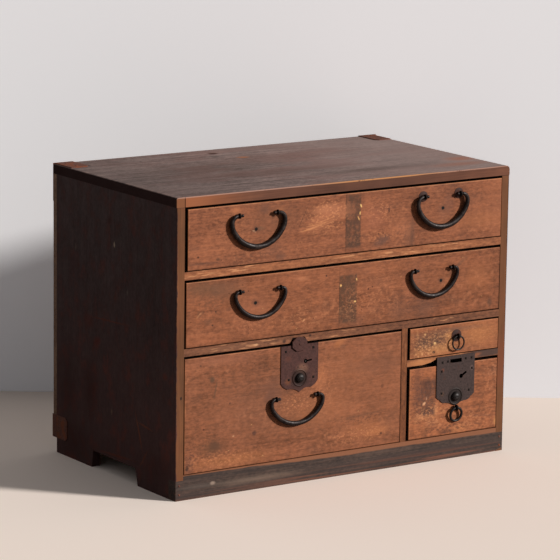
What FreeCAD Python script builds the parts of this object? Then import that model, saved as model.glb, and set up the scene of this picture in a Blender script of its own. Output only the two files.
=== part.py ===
import FreeCAD, Part
import math
import os

# Clothing chest of old wood with five drawers, forged bails, two lock plates and corner straps.
# Millimetres. X runs along the front, Y runs back from the case's front plane, Z runs up from the floor.
# Each piece is modelled with the case's front at Y = 0 and is moved to the common origin when it is saved.

V = FreeCAD.Vector

# Case
case_width = 740.0
case_depth = 424.0
side_thick = 17.0
top_thick = 18.0
back_thick = 12.0
bottom_thick = 12.0
base_rail_height = 46.0
base_rail_thick = 22.0
base_lap_height = 37.0
base_chip_width = 22.0
base_chip_height = 6.0
upper_rail_thick = 15.0
lower_rail_thick = 14.0
small_rail_thick = 13.0
partition_thick = 13.0
rail_depth = 45.0
shelf_thick = 8.0
housing_depth = 5.0
housing_setback = 12.0
top_corner_radius = 8.0
worn_corner_radius = 3.0
worn_arris_radius = 2.0
corner_block_width = 17.5
corner_block_depth = 30.0
wood_joint_gap = 0.4
flatness = 1e-6
back_board_shares = (0.34, 0.31, 0.35)

# Feet, cut out of the side panels
front_foot_length = 129.0
rear_foot_length = 131.0
foot_cut_below_bottom = 1.5
front_foot_slope = 8.0
rear_foot_slope = 4.0

# Openings for the drawers
top_opening = 117.0
middle_opening = 125.0
large_opening = 218.0
square_opening_share = 0.656
left_bay_share = 0.679

# Drawers
front_thick = 20.0
front_proud = 0.5
front_lap = 8.0
front_arris = 1.2
front_lift = 1.4
drawer_side_thick = 10.0
drawer_back_thick = 9.0
drawer_bottom_thick = 7.0
drawer_rear_gap = 3.0
drawer_side_drop = 4.0
running_gap = 0.3
drawer_right_gap = 1.2
top_drawer_left_gap = 6.5
middle_drawer_left_gap = 3.8
large_drawer_left_gap = 1.6
small_drawer_left_gap = 6.0
square_drawer_left_gap = 6.6
top_drawer_gap_above = 4.6
middle_drawer_gap_above = 5.0
large_drawer_gap_above = 4.6
small_drawer_gap_above = 3.4
square_drawer_gap_above = 5.6
finger_count = 5

# Bails and their eye pins
pin_wire_radius = 1.5
pin_eye_bevel = 0.6
pin_eye_sides = 12
pin_rest_gap = 0.3
pin_hole_clearance = 0.1
clinch_length = 14.0
clinch_thick = 2.2
clinch_tip_thick = 0.9
bail_end_radius = 2.0
bail_running_clearance = 0.08
bail_stub_length = 6.0
bail_stub_outside = 2.8
bail_knob_radius = 2.9
bail_sides = 8
bail_arc_steps = (4, 4, 10, 4, 4)
bail_swell_power = 0.3
thick_bail_spacing = 82.0
thick_bail_radius = 5.3
thick_bail_half_width = 56.8
thick_bail_drop = 59.0
thick_bail_shoulder = 30.0
thin_bail_spacing = 88.0
thin_bail_radius = 4.5
thin_bail_half_width = 53.8
thin_bail_drop = 50.0
thin_bail_shoulder = 26.0
large_bail_spacing = 91.0
large_bail_radius = 4.7
large_bail_half_width = 56.5
large_bail_drop = 49.4
large_bail_shoulder = 24.0
top_bail_offset_share = 0.2933
top_bail_shift = 2.0
top_bail_below = 24.5
middle_bail_offset_share = 0.277
middle_bail_shift = -1.4
middle_bail_below = 31.5
large_bail_below = 100.2
large_bail_shift = 2.0
rosette_radius = 10.0
rosette_thick = 1.5
rosette_edge = 0.7
turned_sides = 24
post_sides = 16

# Rings
ring_clearance = 0.35
small_ring_radius = 13.2
small_ring_wire = 1.6
small_ring_offset = 4.5
small_ring_below = 26.0
small_rosette_radius = 11.5
square_ring_radius = 13.0
square_ring_wire = 2.5
square_ring_drop = 3.4
square_ring_stand = 0.6
square_ring_lean = 7.0
ring_sides = 8
ring_steps = 28

# Locks
plate_thick = 1.6
rim_radius = 15.0
rim_half_width = 1.8
rim_height = 1.2
button_radius = 8.8
button_reach = 7.0
button_edge = 1.6
button_dome_shares = ((0.35, 0.0), (0.7, 0.25), (0.92, 0.62))
button_flange_radius = 10.4
button_flange_thick = 2.0
button_stem_radius = 4.0
button_stem_depth = 7.0
button_travel = 3.0
lock_clearance = 0.3
large_keyhole_radius = 4.0
square_keyhole_radius = 4.2
key_slot_length = 14.0
large_key_slot_width = 3.0
square_key_slot_width = 4.0
key_post_radius = 1.7
key_offset = 13.0
lock_case_half_width = 28.0
lock_case_depth = 15.0
lock_case_wall = 1.4
lock_case_below_top = 5.0
lock_case_below_button = 12.0
lock_case_foot_half_width = 10.5
lock_case_slope_height = 8.0
bolt_width = 18.0
bolt_thick = 4.0
bolt_height = 30.0
bolt_below_top = 2.0
bolt_setback = 8.0
bolt_travel = 10.0
bolt_mortise_margin = 1.5
spring_width = 8.0
spring_thick = 0.8
spring_half_height = 9.0
large_plate_half_width = 40.8
large_plate_offset = 6.5
large_plate_above_top = 0.6
large_plate_side_height = 68.5
large_plate_tail = 20.0
large_button_above_tip = 26.4
large_key_below_top = 31.4
large_key_slot_angle = 5.0
tab_radius = 18.0
tab_height_share = 0.79
tab_thick = 2.4
tab_bevel = 0.8
tab_rivet_radius = 2.6
tab_rivet_height = 1.0
tab_offset = -1.6
tab_above_slot = 10.7
tab_above_top = 2.0
tab_stem_width = 17.0
tab_stem_height = 3.6
tab_stem_depth = 5.0
rail_notch_depth = 6.0
square_plate_half_width = 44.3
square_plate_offset = 3.5
square_plate_above_top = 16.6
square_plate_side_height = 77.5
square_plate_tail = 20.0
square_button_above_tip = 18.0
square_key_below_top = 24.9
square_key_slot_angle = 30.0
square_slot_width = 27.0
square_slot_height = 7.3
square_slot_above_top = 6.3

# Shares of a lock plate's half width and tail height, from each side's end down to the middle tip:
# the point an arc passes, or None for a straight edge, and then the edge's end.
large_tail_shares = (
    ((0.91, 0.72), (0.71, 0.44)),
    (None, (0.65, 0.34)),
    ((0.36, 0.35), (0.0, 0.0)),
)
square_tail_shares = (
    (None, (0.88, 0.78)),
    (None, (0.81, 0.72)),
    ((0.72, 0.50), (0.56, 0.40)),
    ((0.28, 0.29), (0.0, 0.0)),
)
# Shares of the half width and of the side height, measured down from the plate's top.
large_plate_nail_shares = ((-0.75, 0.15), (0.73, 0.12), (0.75, 0.93), (-0.58, 0.93))
square_plate_nail_shares = ((-0.74, 0.36), (0.86, 0.37), (0.72, 0.91), (-0.73, 0.91))
square_plate_rivet_shares = ((-0.71, 0.14), (-0.42, 0.13), (0.52, 0.11), (0.83, 0.11))

# Finger notches in the rails above the locks, from left to right: shares of the plate's half width and of
# the rail's height.
large_notch_shares = ((-0.52, 0.0), (-0.36, 0.70), (0.26, 0.70), (0.46, 0.0))
square_notch_shares = ((-1.72, 0.0), (-1.30, 0.24), (-1.02, 0.60), (-0.70, 0.75), (0.50, 0.75), (0.80, 0.0))

# Straps and nails
strap_thick = 1.5
top_strap_width = 42.0
top_strap_depth = 62.0
top_strap_drop = 70.0
base_strap_height = 44.0
base_strap_bottom = 29.0
base_strap_side_length = 52.0
base_strap_back_length = 58.0
strap_corner_clip = 6.0
strap_nail_inset = 12.0
nail_head_half = 2.0
nail_top_share = 0.6
nail_head_height = 0.8
nail_shank_half = 0.8
nail_length = 16.0
plate_nail_head_half = 2.3
plate_nail_length = 12.0
base_nail_inset = 8.5
base_nail_rise_shares = (0.3, 0.75)
back_nail_inset = 8.0
back_nail_rise_shares = (0.2, 0.8)

# Ranges of motion
drawer_travel = 300.0
tab_travel = 9.0
bail_swing_degrees = 150.0

# Levels and faces worked out from the sizes above
inner_x = case_width / 2 - side_thick
bottom_top = base_rail_height
bottom_under = bottom_top - bottom_thick
foot_height = bottom_under - foot_cut_below_bottom
left_bay_width = 2 * inner_x * left_bay_share
square_opening = large_opening * square_opening_share
lower_rail_low = bottom_top + large_opening
lower_rail_high = lower_rail_low + lower_rail_thick
upper_rail_low = lower_rail_high + middle_opening
upper_rail_high = upper_rail_low + upper_rail_thick
top_under = upper_rail_high + top_opening
case_height = top_under + top_thick
small_rail_low = bottom_top + square_opening
small_rail_high = small_rail_low + small_rail_thick
partition_left = left_bay_width - inner_x
partition_right = partition_left + partition_thick
back_face = case_depth + back_thick
front_face = -front_proud
front_back = front_face + front_thick
plate_face = front_face - plate_thick
square_eye_radius = square_ring_wire + ring_clearance + 2 * pin_wire_radius
foremost = front_face - square_ring_stand - pin_rest_gap - 2 * square_eye_radius
rearmost = back_face + strap_thick + nail_head_height
origin_shift = V(0, -(foremost + rearmost) / 2, 0)

x_axis = V(1, 0, 0)
y_axis = V(0, 1, 0)
z_axis = V(0, 0, 1)


# Shared shapes
def box(x0, x1, y0, y1, z0, z1):
    return Part.makeBox(x1 - x0, y1 - y0, z1 - z0, V(x0, y0, z0))


def bar(x, z, y0, y1, half):
    return box(x - half, x + half, y0, y1, z - half, z + half)


def flat_face(points):
    return Part.Face(Part.makePolygon(points + points[:1]))


def ngon(centre, along, side_axis, radius, sides):
    """The corners of a regular polygon square to one axis, with flats towards another."""
    other = along.cross(side_axis)
    points = []
    for index in range(sides):
        angle = 2 * math.pi * (index + 0.5) / sides
        points.append(centre + side_axis * (radius * math.cos(angle)) + other * (radius * math.sin(angle)))
    return points


def flat_sided(sections, closed=False):
    """A solid with flat faces through sections of equally many corners, from end to end or round a loop."""
    faces = [] if closed else [flat_face(sections[0]), flat_face(sections[-1])]
    pairs = list(zip(sections, sections[1:]))
    if closed:
        pairs.append((sections[-1], sections[0]))
    for one, two in pairs:
        for index in range(len(one)):
            after = (index + 1) % len(one)
            quad = [one[index], one[after], two[after], two[index]]
            normal = (quad[1] - quad[0]).cross(quad[2] - quad[0])
            lift = abs((quad[3] - quad[0]).dot(normal)) / normal.Length
            if lift < flatness:
                faces.append(flat_face(quad))
            else:
                faces += [flat_face(quad[:3]), flat_face([quad[0], quad[2], quad[3]])]
    return Part.makeSolid(Part.makeShell(faces))


def faceted(centre, along, side_axis, stations, sides):
    """A small turned piece with few sides: stations are its (radius, distance along the axis)."""
    return flat_sided([ngon(centre + along * distance, along, side_axis, radius, sides)
                       for radius, distance in stations])


def post(x, z, y0, y1, radius):
    return faceted(V(x, y0, z), y_axis, x_axis, ((radius, 0), (radius, y1 - y0)), post_sides)


def joined(first, *others):
    return first.fuse(list(others)).removeSplitter()


def rounded(shape, radius, test):
    return shape.makeFillet(radius, [edge for edge in shape.Edges if test(edge.BoundBox)])


def clipped(shape, size, test):
    return shape.makeChamfer(size, [edge for edge in shape.Edges if test(edge.BoundBox)])


def near(a, b):
    return math.isclose(a, b, abs_tol=front_proud / 10)


def nail(point, outward, head_half, length):
    """A square wrought nail: a pyramid head that stands on the surface and a shank below it."""
    side_axis = x_axis if abs(outward.x) < abs(outward.z) + abs(outward.y) else y_axis
    head_corner = head_half * math.sqrt(2)
    shank_corner = nail_shank_half * math.sqrt(2)
    head = faceted(point, outward, side_axis,
                   ((head_corner, 0), (head_corner * nail_top_share, nail_head_height)), 4)
    shank = faceted(point, outward, side_axis, ((shank_corner, -length), (shank_corner, 0)), 4)
    return joined(head, shank)


def save(name, *solids):
    """Writes one node, moved to the common origin; several solids stay separate in one file."""
    moved = [solid.translated(origin_shift) for solid in solids]
    shape = moved[0] if len(moved) == 1 else Part.makeCompound(moved)
    shape.exportStep(os.path.join("parts", name + ".step"))


# Case joinery
def make_rail(x0, x1, z0, z1):
    """A front rail whose ends enter the panels behind a plain butt at the front."""
    face = box(x0, x1, 0, rail_depth, z0, z1)
    tenon = box(x0 - housing_depth, x1 + housing_depth, housing_setback, rail_depth, z0, z1)
    return joined(face, tenon)


def make_shelf(x0, x1, z1):
    """The thin board behind a rail, level with its top, which carries the drawer above."""
    return box(x0 - housing_depth, x1 + housing_depth, rail_depth, case_depth, z1 - shelf_thick, z1)


def make_base_rail():
    """The front foot rail: it laps over the side panels below and fits between them above."""
    half = case_width / 2
    low = box(-half, half, 0, base_rail_thick, 0, base_lap_height)
    low = rounded(low, worn_arris_radius,
                  lambda b: near(b.YMax, 0) and near(b.XMin, b.XMax) and near(abs(b.XMin), half))
    high = box(-inner_x, inner_x, 0, base_rail_thick, base_lap_height, base_rail_height)
    corner = (V(half - base_chip_width, 0, 0), V(half, 0, base_chip_height), V(half, 0, 0))
    chip = Part.Face(Part.makePolygon(corner + corner[:1])).extrude(V(0, base_rail_thick, 0))
    return joined(low, high).cut(chip)


def make_side(sign, seated):
    """A side panel with its feet and the housings of the boards that it carries."""
    outer = sign * case_width / 2
    inner = sign * inner_x
    panel = box(min(outer, inner), max(outer, inner), 0, case_depth, 0, top_under)
    panel = rounded(panel, worn_arris_radius,
                    lambda b: near(b.YMax, 0) and near(b.XMin, outer) and near(b.XMax, outer))
    outline = (
        V(min(outer, inner), front_foot_length, 0),
        V(min(outer, inner), front_foot_length + front_foot_slope, foot_height),
        V(min(outer, inner), case_depth - rear_foot_length - rear_foot_slope, foot_height),
        V(min(outer, inner), case_depth - rear_foot_length, 0),
    )
    gap = Part.Face(Part.makePolygon(outline + outline[:1])).extrude(V(side_thick, 0, 0))
    return panel.cut([gap] + seated)


def make_partition(seated):
    panel = box(partition_left, partition_right, 0, case_depth, bottom_top, lower_rail_high - shelf_thick)
    return panel.cut(seated)


def make_top_board():
    """The top board over both side panels, its front left corner cut out for a let-in block."""
    half = case_width / 2
    board = box(-half, half, 0, back_face, top_under, case_height)
    board = rounded(board, top_corner_radius,
                    lambda b: near(b.XMin, half) and near(b.ZMin, case_height))
    board = rounded(board, worn_corner_radius,
                    lambda b: near(b.XMax, -half) and near(b.ZMin, case_height))
    notch = box(-half, corner_block_width - half + wood_joint_gap, 0, corner_block_depth + wood_joint_gap,
                top_under, case_height)
    return board.cut(notch)


def make_corner_block():
    left = -case_width / 2
    block = box(left, left + corner_block_width, 0, corner_block_depth, top_under, case_height)
    return rounded(block, worn_corner_radius, lambda b: near(b.XMax, left) and near(b.ZMin, case_height))


def make_back_boards():
    """Three boards across the back, nailed over the rear edges of the side panels."""
    boards = []
    low = bottom_under
    span = top_under - bottom_under
    for share in back_board_shares:
        high = low + span * share
        boards.append(box(-case_width / 2, case_width / 2, case_depth, back_face,
                          low, high - wood_joint_gap))
        low = high
    return boards


# Straps and case nails
def make_top_strap(sign):
    """An iron angle over a top rear corner."""
    outer = sign * case_width / 2
    inner = outer - sign * top_strap_width
    low_x, high_x = min(outer, inner), max(outer, inner)
    front = back_face - top_strap_depth
    flat = box(low_x, high_x, front, back_face + strap_thick, case_height, case_height + strap_thick)
    flat = clipped(flat, strap_corner_clip, lambda b: near(b.XMin, inner) and near(b.XMax, inner)
                   and near(b.YMax, front))
    drop = box(low_x, high_x, back_face, back_face + strap_thick, case_height - top_strap_drop, case_height)
    drop = clipped(drop, strap_corner_clip, lambda b: near(b.XMin, inner) and near(b.XMax, inner)
                   and near(b.ZMin, b.ZMax) and near(b.ZMin, case_height - top_strap_drop))
    strap = joined(flat, drop)
    # The panel's rounded end edge leaves a hollow under a flat strap, so the strap stops where it starts.
    end_radius = top_corner_radius if sign > 0 else worn_corner_radius
    clear = box(min(outer, outer - sign * end_radius), max(outer, outer - sign * end_radius), front,
                back_face, case_height, case_height + strap_thick)
    return strap.cut(clear)


def make_base_strap(sign):
    """An iron angle round a lower rear corner."""
    outer = sign * case_width / 2
    face = outer + sign * strap_thick
    inner = outer - sign * base_strap_back_length
    front = back_face - base_strap_side_length
    low = base_strap_bottom
    high = base_strap_bottom + base_strap_height
    flank = box(min(outer, face), max(outer, face), front, back_face + strap_thick, low, high)
    flank = clipped(flank, strap_corner_clip,
                    lambda b: near(b.YMin, front) and near(b.YMax, front) and near(b.ZMin, b.ZMax))
    rear = box(min(outer, inner), max(outer, inner), back_face, back_face + strap_thick, low, high)
    rear = clipped(rear, strap_corner_clip, lambda b: near(b.XMin, inner) and near(b.XMax, inner)
                   and near(b.ZMin, b.ZMax))
    return joined(flank, rear)


def make_case_nails():
    """Nails of the straps, of the foot rail's ends and of the back boards."""
    nails = []
    for sign in (-1, 1):
        half = sign * case_width / 2
        strap_x = half - sign * top_strap_width / 2
        strap_top = case_height + strap_thick
        strap_back = back_face + strap_thick
        for y in (back_face - strap_nail_inset, back_face - top_strap_depth + strap_nail_inset):
            nails.append(nail(V(strap_x, y, strap_top), z_axis, nail_head_half, nail_length))
        for z in (case_height - top_strap_drop / 2, case_height - top_strap_drop + strap_nail_inset):
            nails.append(nail(V(strap_x, strap_back, z), y_axis, nail_head_half, nail_length))
        base_z = base_strap_bottom + base_strap_height / 2
        nails.append(nail(V(half + sign * strap_thick, back_face - base_strap_side_length + strap_nail_inset,
                            base_z), x_axis * sign, nail_head_half, nail_length))
        nails.append(nail(V(half - sign * (base_strap_back_length - strap_nail_inset), strap_back, base_z),
                          y_axis, nail_head_half, nail_length))
        for share in base_nail_rise_shares:
            nails.append(nail(V(half - sign * base_nail_inset, 0, base_lap_height * share), y_axis * -1,
                              nail_head_half, base_rail_thick + nail_length))
        low = bottom_under + base_strap_height
        high = case_height - top_strap_drop - back_nail_inset
        for share in back_nail_rise_shares:
            nails.append(nail(V(half - sign * back_nail_inset, back_face, low + (high - low) * share),
                              y_axis, nail_head_half, nail_length))
    return nails


# Drawers
def make_drawer(x0, x1, z0, z1):
    """Front, sides, back and bottom of a drawer whose front fills the given rectangle."""
    box_low = z0 - front_lift + running_gap
    side_low = box_low + drawer_bottom_thick
    side_high = z1 - drawer_side_drop
    rear = case_depth - drawer_rear_gap
    side_front = front_face + front_lap
    left = box(x0, x0 + drawer_side_thick, side_front, rear, side_low, side_high)
    right = box(x1 - drawer_side_thick, x1, side_front, rear, side_low, side_high)
    back = box(x0 + drawer_side_thick, x1 - drawer_side_thick, rear - drawer_back_thick, rear,
               side_low, side_high)
    slot = (side_high - side_low) / finger_count
    for index in range(1, finger_count, 2):
        low = side_low + slot * index
        back = back.fuse(box(x0, x1, rear - drawer_back_thick, rear, low, low + slot))
    back = back.removeSplitter()
    bottom = box(x0, x1, side_front, rear, box_low, side_low)
    front = box(x0, x1, front_face, front_back, z0, z1)
    front = rounded(front, front_arris, lambda b: near(b.YMin, front_face) and near(b.YMax, front_face))
    front = front.cut([left, right, bottom])
    return front, [left.cut(back), right.cut(back), back], bottom


# Bails, rings and their pins
def pin_level(hole_radius, under=0):
    """How far forward an eye's middle lies, so that the eye clears the wood or a rosette under it."""
    return front_face - under - pin_rest_gap - 2 * pin_wire_radius - hole_radius


def make_bail(x, y, z, spacing, half_width, drop, shoulder, middle_radius):
    """A forged bail with eight flats, thickest in the middle, whose ends turn in through two eyes.

    Its line is made of tangent arcs: a small curl at each end, a shoulder and one wide arc below.
    """
    stub_end = spacing / 2 + bail_stub_outside
    stub_tip = spacing / 2 - bail_stub_length
    curl = half_width - stub_end
    depth = drop - curl
    wide = ((half_width - shoulder) ** 2 + depth ** 2 - shoulder ** 2) / (2 * (depth - shoulder))
    turn = math.degrees(math.atan2(depth - wide, half_width - shoulder))
    arcs = (
        (stub_end, -curl, curl, 90, 0),
        (half_width - shoulder, -curl, shoulder, 0, turn),
        (0, wide - drop, wide, turn, -180 - turn),
        (shoulder - half_width, -curl, shoulder, -180 - turn, -180),
        (-stub_end, -curl, curl, -180, -270),
    )
    total = sum(radius * abs(stop - start) for _, _, radius, start, stop in arcs)
    sections = [ngon(V(x + stub_tip, y, z), x_axis, y_axis, bail_end_radius, bail_sides)]
    travelled = 0
    for (cx, cz, radius, start, stop), steps in zip(arcs, bail_arc_steps):
        first = 1 if travelled else 0
        for index in range(first, steps + 1):
            angle = start + (stop - start) * index / steps
            share = (travelled + radius * abs(angle - start)) / total
            swell = abs(math.sin(math.pi * share)) ** bail_swell_power
            bar_radius = bail_end_radius + (middle_radius - bail_end_radius) * swell
            turned_by = math.radians(angle)
            centre = V(x + cx + radius * math.cos(turned_by), y, z + cz + radius * math.sin(turned_by))
            along = V(math.sin(turned_by), 0, -math.cos(turned_by))
            sections.append(ngon(centre, along, y_axis, bar_radius, bail_sides))
        travelled += radius * abs(stop - start)
    sections.append(ngon(V(x - stub_tip, y, z), x_axis, y_axis, bail_end_radius, bail_sides))
    bow = flat_sided(sections)
    knobs = []
    for sign in (-1, 1):
        knobs.append(faceted(V(x + sign * stub_tip, y, z), x_axis, y_axis, (
            (bail_end_radius, -bail_knob_radius),
            (bail_knob_radius, -bail_knob_radius / 2),
            (bail_knob_radius, bail_knob_radius / 2),
            (bail_end_radius, bail_knob_radius),
        ), bail_sides))
    return bow.fuse(knobs)


def make_pin(x, y, z, hole_radius):
    """A forged eye pin: a flat eye, a square shank through the front and its ends clinched behind."""
    outer = hole_radius + 2 * pin_wire_radius
    centre = V(x, y, z)
    eye = faceted(centre, x_axis, y_axis, (
        (outer - pin_eye_bevel, -pin_wire_radius),
        (outer, pin_eye_bevel - pin_wire_radius),
        (outer, pin_wire_radius - pin_eye_bevel),
        (outer - pin_eye_bevel, pin_wire_radius),
    ), pin_eye_sides)
    across_flats = hole_radius / math.cos(math.pi / pin_eye_sides)
    hole = faceted(centre, x_axis, y_axis,
                   ((across_flats, -pin_wire_radius), (across_flats, pin_wire_radius)), pin_eye_sides)
    shank = bar(x, z, y + hole_radius + pin_wire_radius, front_back, pin_wire_radius)
    legs = (
        V(x - pin_wire_radius, front_back, z - clinch_length),
        V(x - pin_wire_radius, front_back, z + clinch_length),
        V(x - pin_wire_radius, front_back + clinch_tip_thick, z + clinch_length),
        V(x - pin_wire_radius, front_back + clinch_thick, z),
        V(x - pin_wire_radius, front_back + clinch_tip_thick, z - clinch_length),
    )
    clinch = Part.Face(Part.makePolygon(legs + legs[:1])).extrude(V(2 * pin_wire_radius, 0, 0))
    return joined(eye.cut(hole), shank, clinch)


def pin_hole(x, z):
    return bar(x, z, front_face, front_back, pin_wire_radius + pin_hole_clearance)


def make_rosette(x, z, radius):
    """A round plate under an eye, thin at its rim and raised in the middle."""
    disc = faceted(V(x, 0, z), y_axis, x_axis, (
        (radius / 2, front_face - rosette_thick),
        (radius, front_face - rosette_edge),
        (radius, front_face),
    ), turned_sides)
    return disc.cut(bar(x, z, front_face - rosette_thick, front_face, pin_wire_radius + pin_hole_clearance))


def make_ring(x, y, z, radius, wire_radius, lean=0):
    """A forged ring that hangs from an eye's middle and leans back towards the wood by an angle."""
    sections = []
    for index in range(ring_steps):
        angle = 2 * math.pi * index / ring_steps
        centre = V(x + radius * math.sin(angle), y, z - radius + radius * math.cos(angle))
        along = V(math.cos(angle), 0, -math.sin(angle))
        sections.append(ngon(centre, along, y_axis, wire_radius, ring_sides))
    ring = flat_sided(sections, closed=True)
    ring.rotate(V(x, y, z), x_axis, lean)
    return ring


# Locks
def plate_outline(x, top, side_low, tip, half, tail_shares, y):
    """The closed outline of a lock plate: straight sides and a bracketed tail down to a middle tip."""
    def at(share):
        return V(x + half * share[0], y, tip + (side_low - tip) * share[1])
    start = at((1, 1))
    right = [Part.LineSegment(V(x + half, y, top), start).toShape()]
    for middle, end in tail_shares:
        stop = at(end)
        curve = Part.Arc(start, at(middle), stop) if middle else Part.LineSegment(start, stop)
        right.append(curve.toShape())
        start = stop
    left = [edge.mirror(V(x, 0, 0), x_axis) for edge in right]
    across = Part.LineSegment(V(x - half, y, top), V(x + half, y, top)).toShape()
    return Part.Wire(Part.__sortEdges__(right + left + [across]))


def make_plate(wire, cut_outs, button_x, button_z):
    """A lock plate with a raised rim round its button."""
    plate = Part.Face(wire).extrude(V(0, plate_thick, 0))
    centre = V(button_x, plate_face, button_z)
    rim = faceted(centre, -y_axis, x_axis, ((rim_radius + rim_half_width, 0), (rim_radius, rim_height)),
                  turned_sides)
    dish = faceted(centre, -y_axis, x_axis, ((rim_radius - rim_half_width, 0), (rim_radius, rim_height)),
                   turned_sides)
    hole_radius = button_radius + lock_clearance
    hole = faceted(centre, y_axis, x_axis, ((hole_radius, 0), (hole_radius, plate_thick)), turned_sides)
    return joined(plate, rim.cut(dish)).cut([hole] + cut_outs)


def make_keyhole(x, z, radius, width, angle):
    """A round keyhole with a slot for the key's bit to one side."""
    half = width / 2
    slot = box(x, x + key_slot_length, plate_face, front_face, z - half, z + half)
    slot.rotate(V(x, 0, z), y_axis, -angle)
    return post(x, z, plate_face, front_face, radius).fuse(slot)


def make_button(x, z):
    """A domed push button with a flange behind the plate and a stem on its spring."""
    edge = plate_face - button_edge
    top = plate_face - button_reach
    flange = front_face + lock_clearance
    stations = [(button_radius * share, top + (edge - top) * rise) for share, rise in button_dome_shares]
    stations += [(button_radius, edge), (button_radius, flange + button_flange_thick)]
    centre = V(x, 0, z)
    dome = faceted(centre, y_axis, x_axis, stations, turned_sides)
    collar = faceted(centre, y_axis, x_axis, (
        (button_flange_radius, flange),
        (button_flange_radius, flange + button_flange_thick),
    ), turned_sides)
    stem = faceted(centre, y_axis, x_axis, (
        (button_stem_radius, flange + button_flange_thick),
        (button_stem_radius, front_face + button_stem_depth),
    ), bail_sides)
    return joined(dome, collar, stem)


def tray_shape(x, low, high, depth, wall):
    """A lock's room in the wood, or what a wall's thickness leaves of it: narrower towards its foot."""
    half = lock_case_half_width - wall
    foot = lock_case_foot_half_width - wall
    slope = low + lock_case_slope_height
    outline = [V(x - half, front_face, high - wall), V(x - half, front_face, slope),
               V(x - foot, front_face, low + wall), V(x + foot, front_face, low + wall),
               V(x + half, front_face, slope), V(x + half, front_face, high - wall)]
    return flat_face(outline).extrude(V(0, depth - wall, 0))


def make_lock_case(x, low, high, key):
    """The iron tray behind a plate, open towards it, with a slot for the bolt in its top."""
    tray = tray_shape(x, low, high, lock_case_depth, 0)
    inner = tray_shape(x, low, high, lock_case_depth, lock_case_wall)
    slot = bolt_channel(x, high - lock_case_wall, high)
    tray = tray.cut([inner, slot])
    if key is None:
        return tray
    return tray.fuse(post(key[0], key[1], plate_face, front_face + lock_case_depth - lock_case_wall,
                          key_post_radius))


def bolt_channel(x, low, high):
    """The room round a bolt, from one level up to another."""
    half = bolt_width / 2 + lock_clearance
    near_y = front_face + bolt_setback - lock_clearance
    far_y = front_face + bolt_setback + bolt_thick + lock_clearance
    return box(x - half, x + half, near_y, far_y, low, high)


def make_bolt(x, drawer_top):
    high = drawer_top - bolt_below_top
    y = front_face + bolt_setback
    return box(x - bolt_width / 2, x + bolt_width / 2, y, y + bolt_thick, high - bolt_height, high)


def make_spring(x, z):
    """A bowed leaf between the tray's back and the button's stem."""
    back = front_face + lock_case_depth - lock_case_wall
    crest = front_face + button_stem_depth + lock_clearance
    ends = spring_half_height
    front = back - spring_thick
    front_arc = Part.Arc(V(x, front, z - ends), V(x, crest, z), V(x, front, z + ends))
    back_arc = Part.Arc(V(x, back, z + ends), V(x, crest + spring_thick, z), V(x, back, z - ends))
    tips = [
        Part.LineSegment(V(x, front, z + ends), V(x, back, z + ends)).toShape(),
        Part.LineSegment(V(x, back, z - ends), V(x, front, z - ends)).toShape(),
    ]
    wire = Part.Wire(Part.__sortEdges__([front_arc.toShape(), back_arc.toShape()] + tips))
    return Part.Face(wire).extrude(V(spring_width, 0, 0)).translated(V(-spring_width / 2, 0, 0))


def make_tab(x, z, stem_z):
    """The eight-sided head of the spring-out lock tab, its rivet and its flat stem."""
    back = plate_face - lock_clearance
    high_radius = tab_radius * tab_height_share
    corners = [V(x + tab_radius * math.cos(math.radians(45 * i + 22.5)), back,
                 z + high_radius * math.sin(math.radians(45 * i + 22.5))) for i in range(8)]
    head = Part.Face(Part.makePolygon(corners + corners[:1])).extrude(V(0, -tab_thick, 0))
    head = head.makeChamfer(tab_bevel, [edge for edge in head.Edges
                                        if near(edge.BoundBox.YMin, back - tab_thick)
                                        and near(edge.BoundBox.YMax, back - tab_thick)])
    rivet = faceted(V(x, back - tab_thick, z), -y_axis, x_axis,
                    ((tab_rivet_radius, 0), (tab_rivet_radius / 2, tab_rivet_height)), bail_sides)
    stem = box(x - tab_stem_width / 2, x + tab_stem_width / 2, back, front_face + tab_stem_depth,
               stem_z - tab_stem_height / 2, stem_z + tab_stem_height / 2)
    return joined(head, rivet, stem)


def rail_notch(x, rail_low, half, thick, shares):
    """The finger notch in a rail's lower front edge and the mortise for the bolt behind it."""
    outline = [V(x + half * across, 0, rail_low + thick * up) for across, up in shares]
    notch = flat_face(outline).extrude(V(0, rail_notch_depth, 0))
    mortise_high = rail_low + bolt_travel - bolt_below_top + bolt_mortise_margin
    return notch.fuse(bolt_channel(x, rail_low, mortise_high))


# Drawer front rectangles: left, right, bottom and top
top_front = (top_drawer_left_gap - inner_x, inner_x - drawer_right_gap,
             upper_rail_high + front_lift, top_under - top_drawer_gap_above)
middle_front = (middle_drawer_left_gap - inner_x, inner_x - drawer_right_gap,
                lower_rail_high + front_lift, upper_rail_low - middle_drawer_gap_above)
large_front = (large_drawer_left_gap - inner_x, partition_left - drawer_right_gap,
               bottom_top + front_lift, lower_rail_low - large_drawer_gap_above)
small_front = (partition_right + small_drawer_left_gap, inner_x - drawer_right_gap,
               small_rail_high + front_lift, lower_rail_low - small_drawer_gap_above)
square_front = (partition_right + square_drawer_left_gap, inner_x - drawer_right_gap,
                bottom_top + front_lift, small_rail_low - square_drawer_gap_above)


def middle_of(front):
    return (front[0] + front[1]) / 2


def bail_places(front, offset_share, shift=0):
    """The middles of a wide drawer's two bails, each a share of the front's width from a point between."""
    offset = (front[1] - front[0]) * offset_share
    return middle_of(front) + shift - offset, middle_of(front) + shift + offset


# Places of the hardware
top_bail_z = top_under - top_bail_below
top_bail_xs = bail_places(top_front, top_bail_offset_share, top_bail_shift)
middle_bail_z = upper_rail_low - middle_bail_below
middle_bail_xs = bail_places(middle_front, middle_bail_offset_share, middle_bail_shift)
large_bail_z = lower_rail_low - large_bail_below
large_bail_x = middle_of(large_front) + large_bail_shift
small_ring_x = middle_of(small_front) + small_ring_offset
small_ring_z = lower_rail_low - small_ring_below

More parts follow.
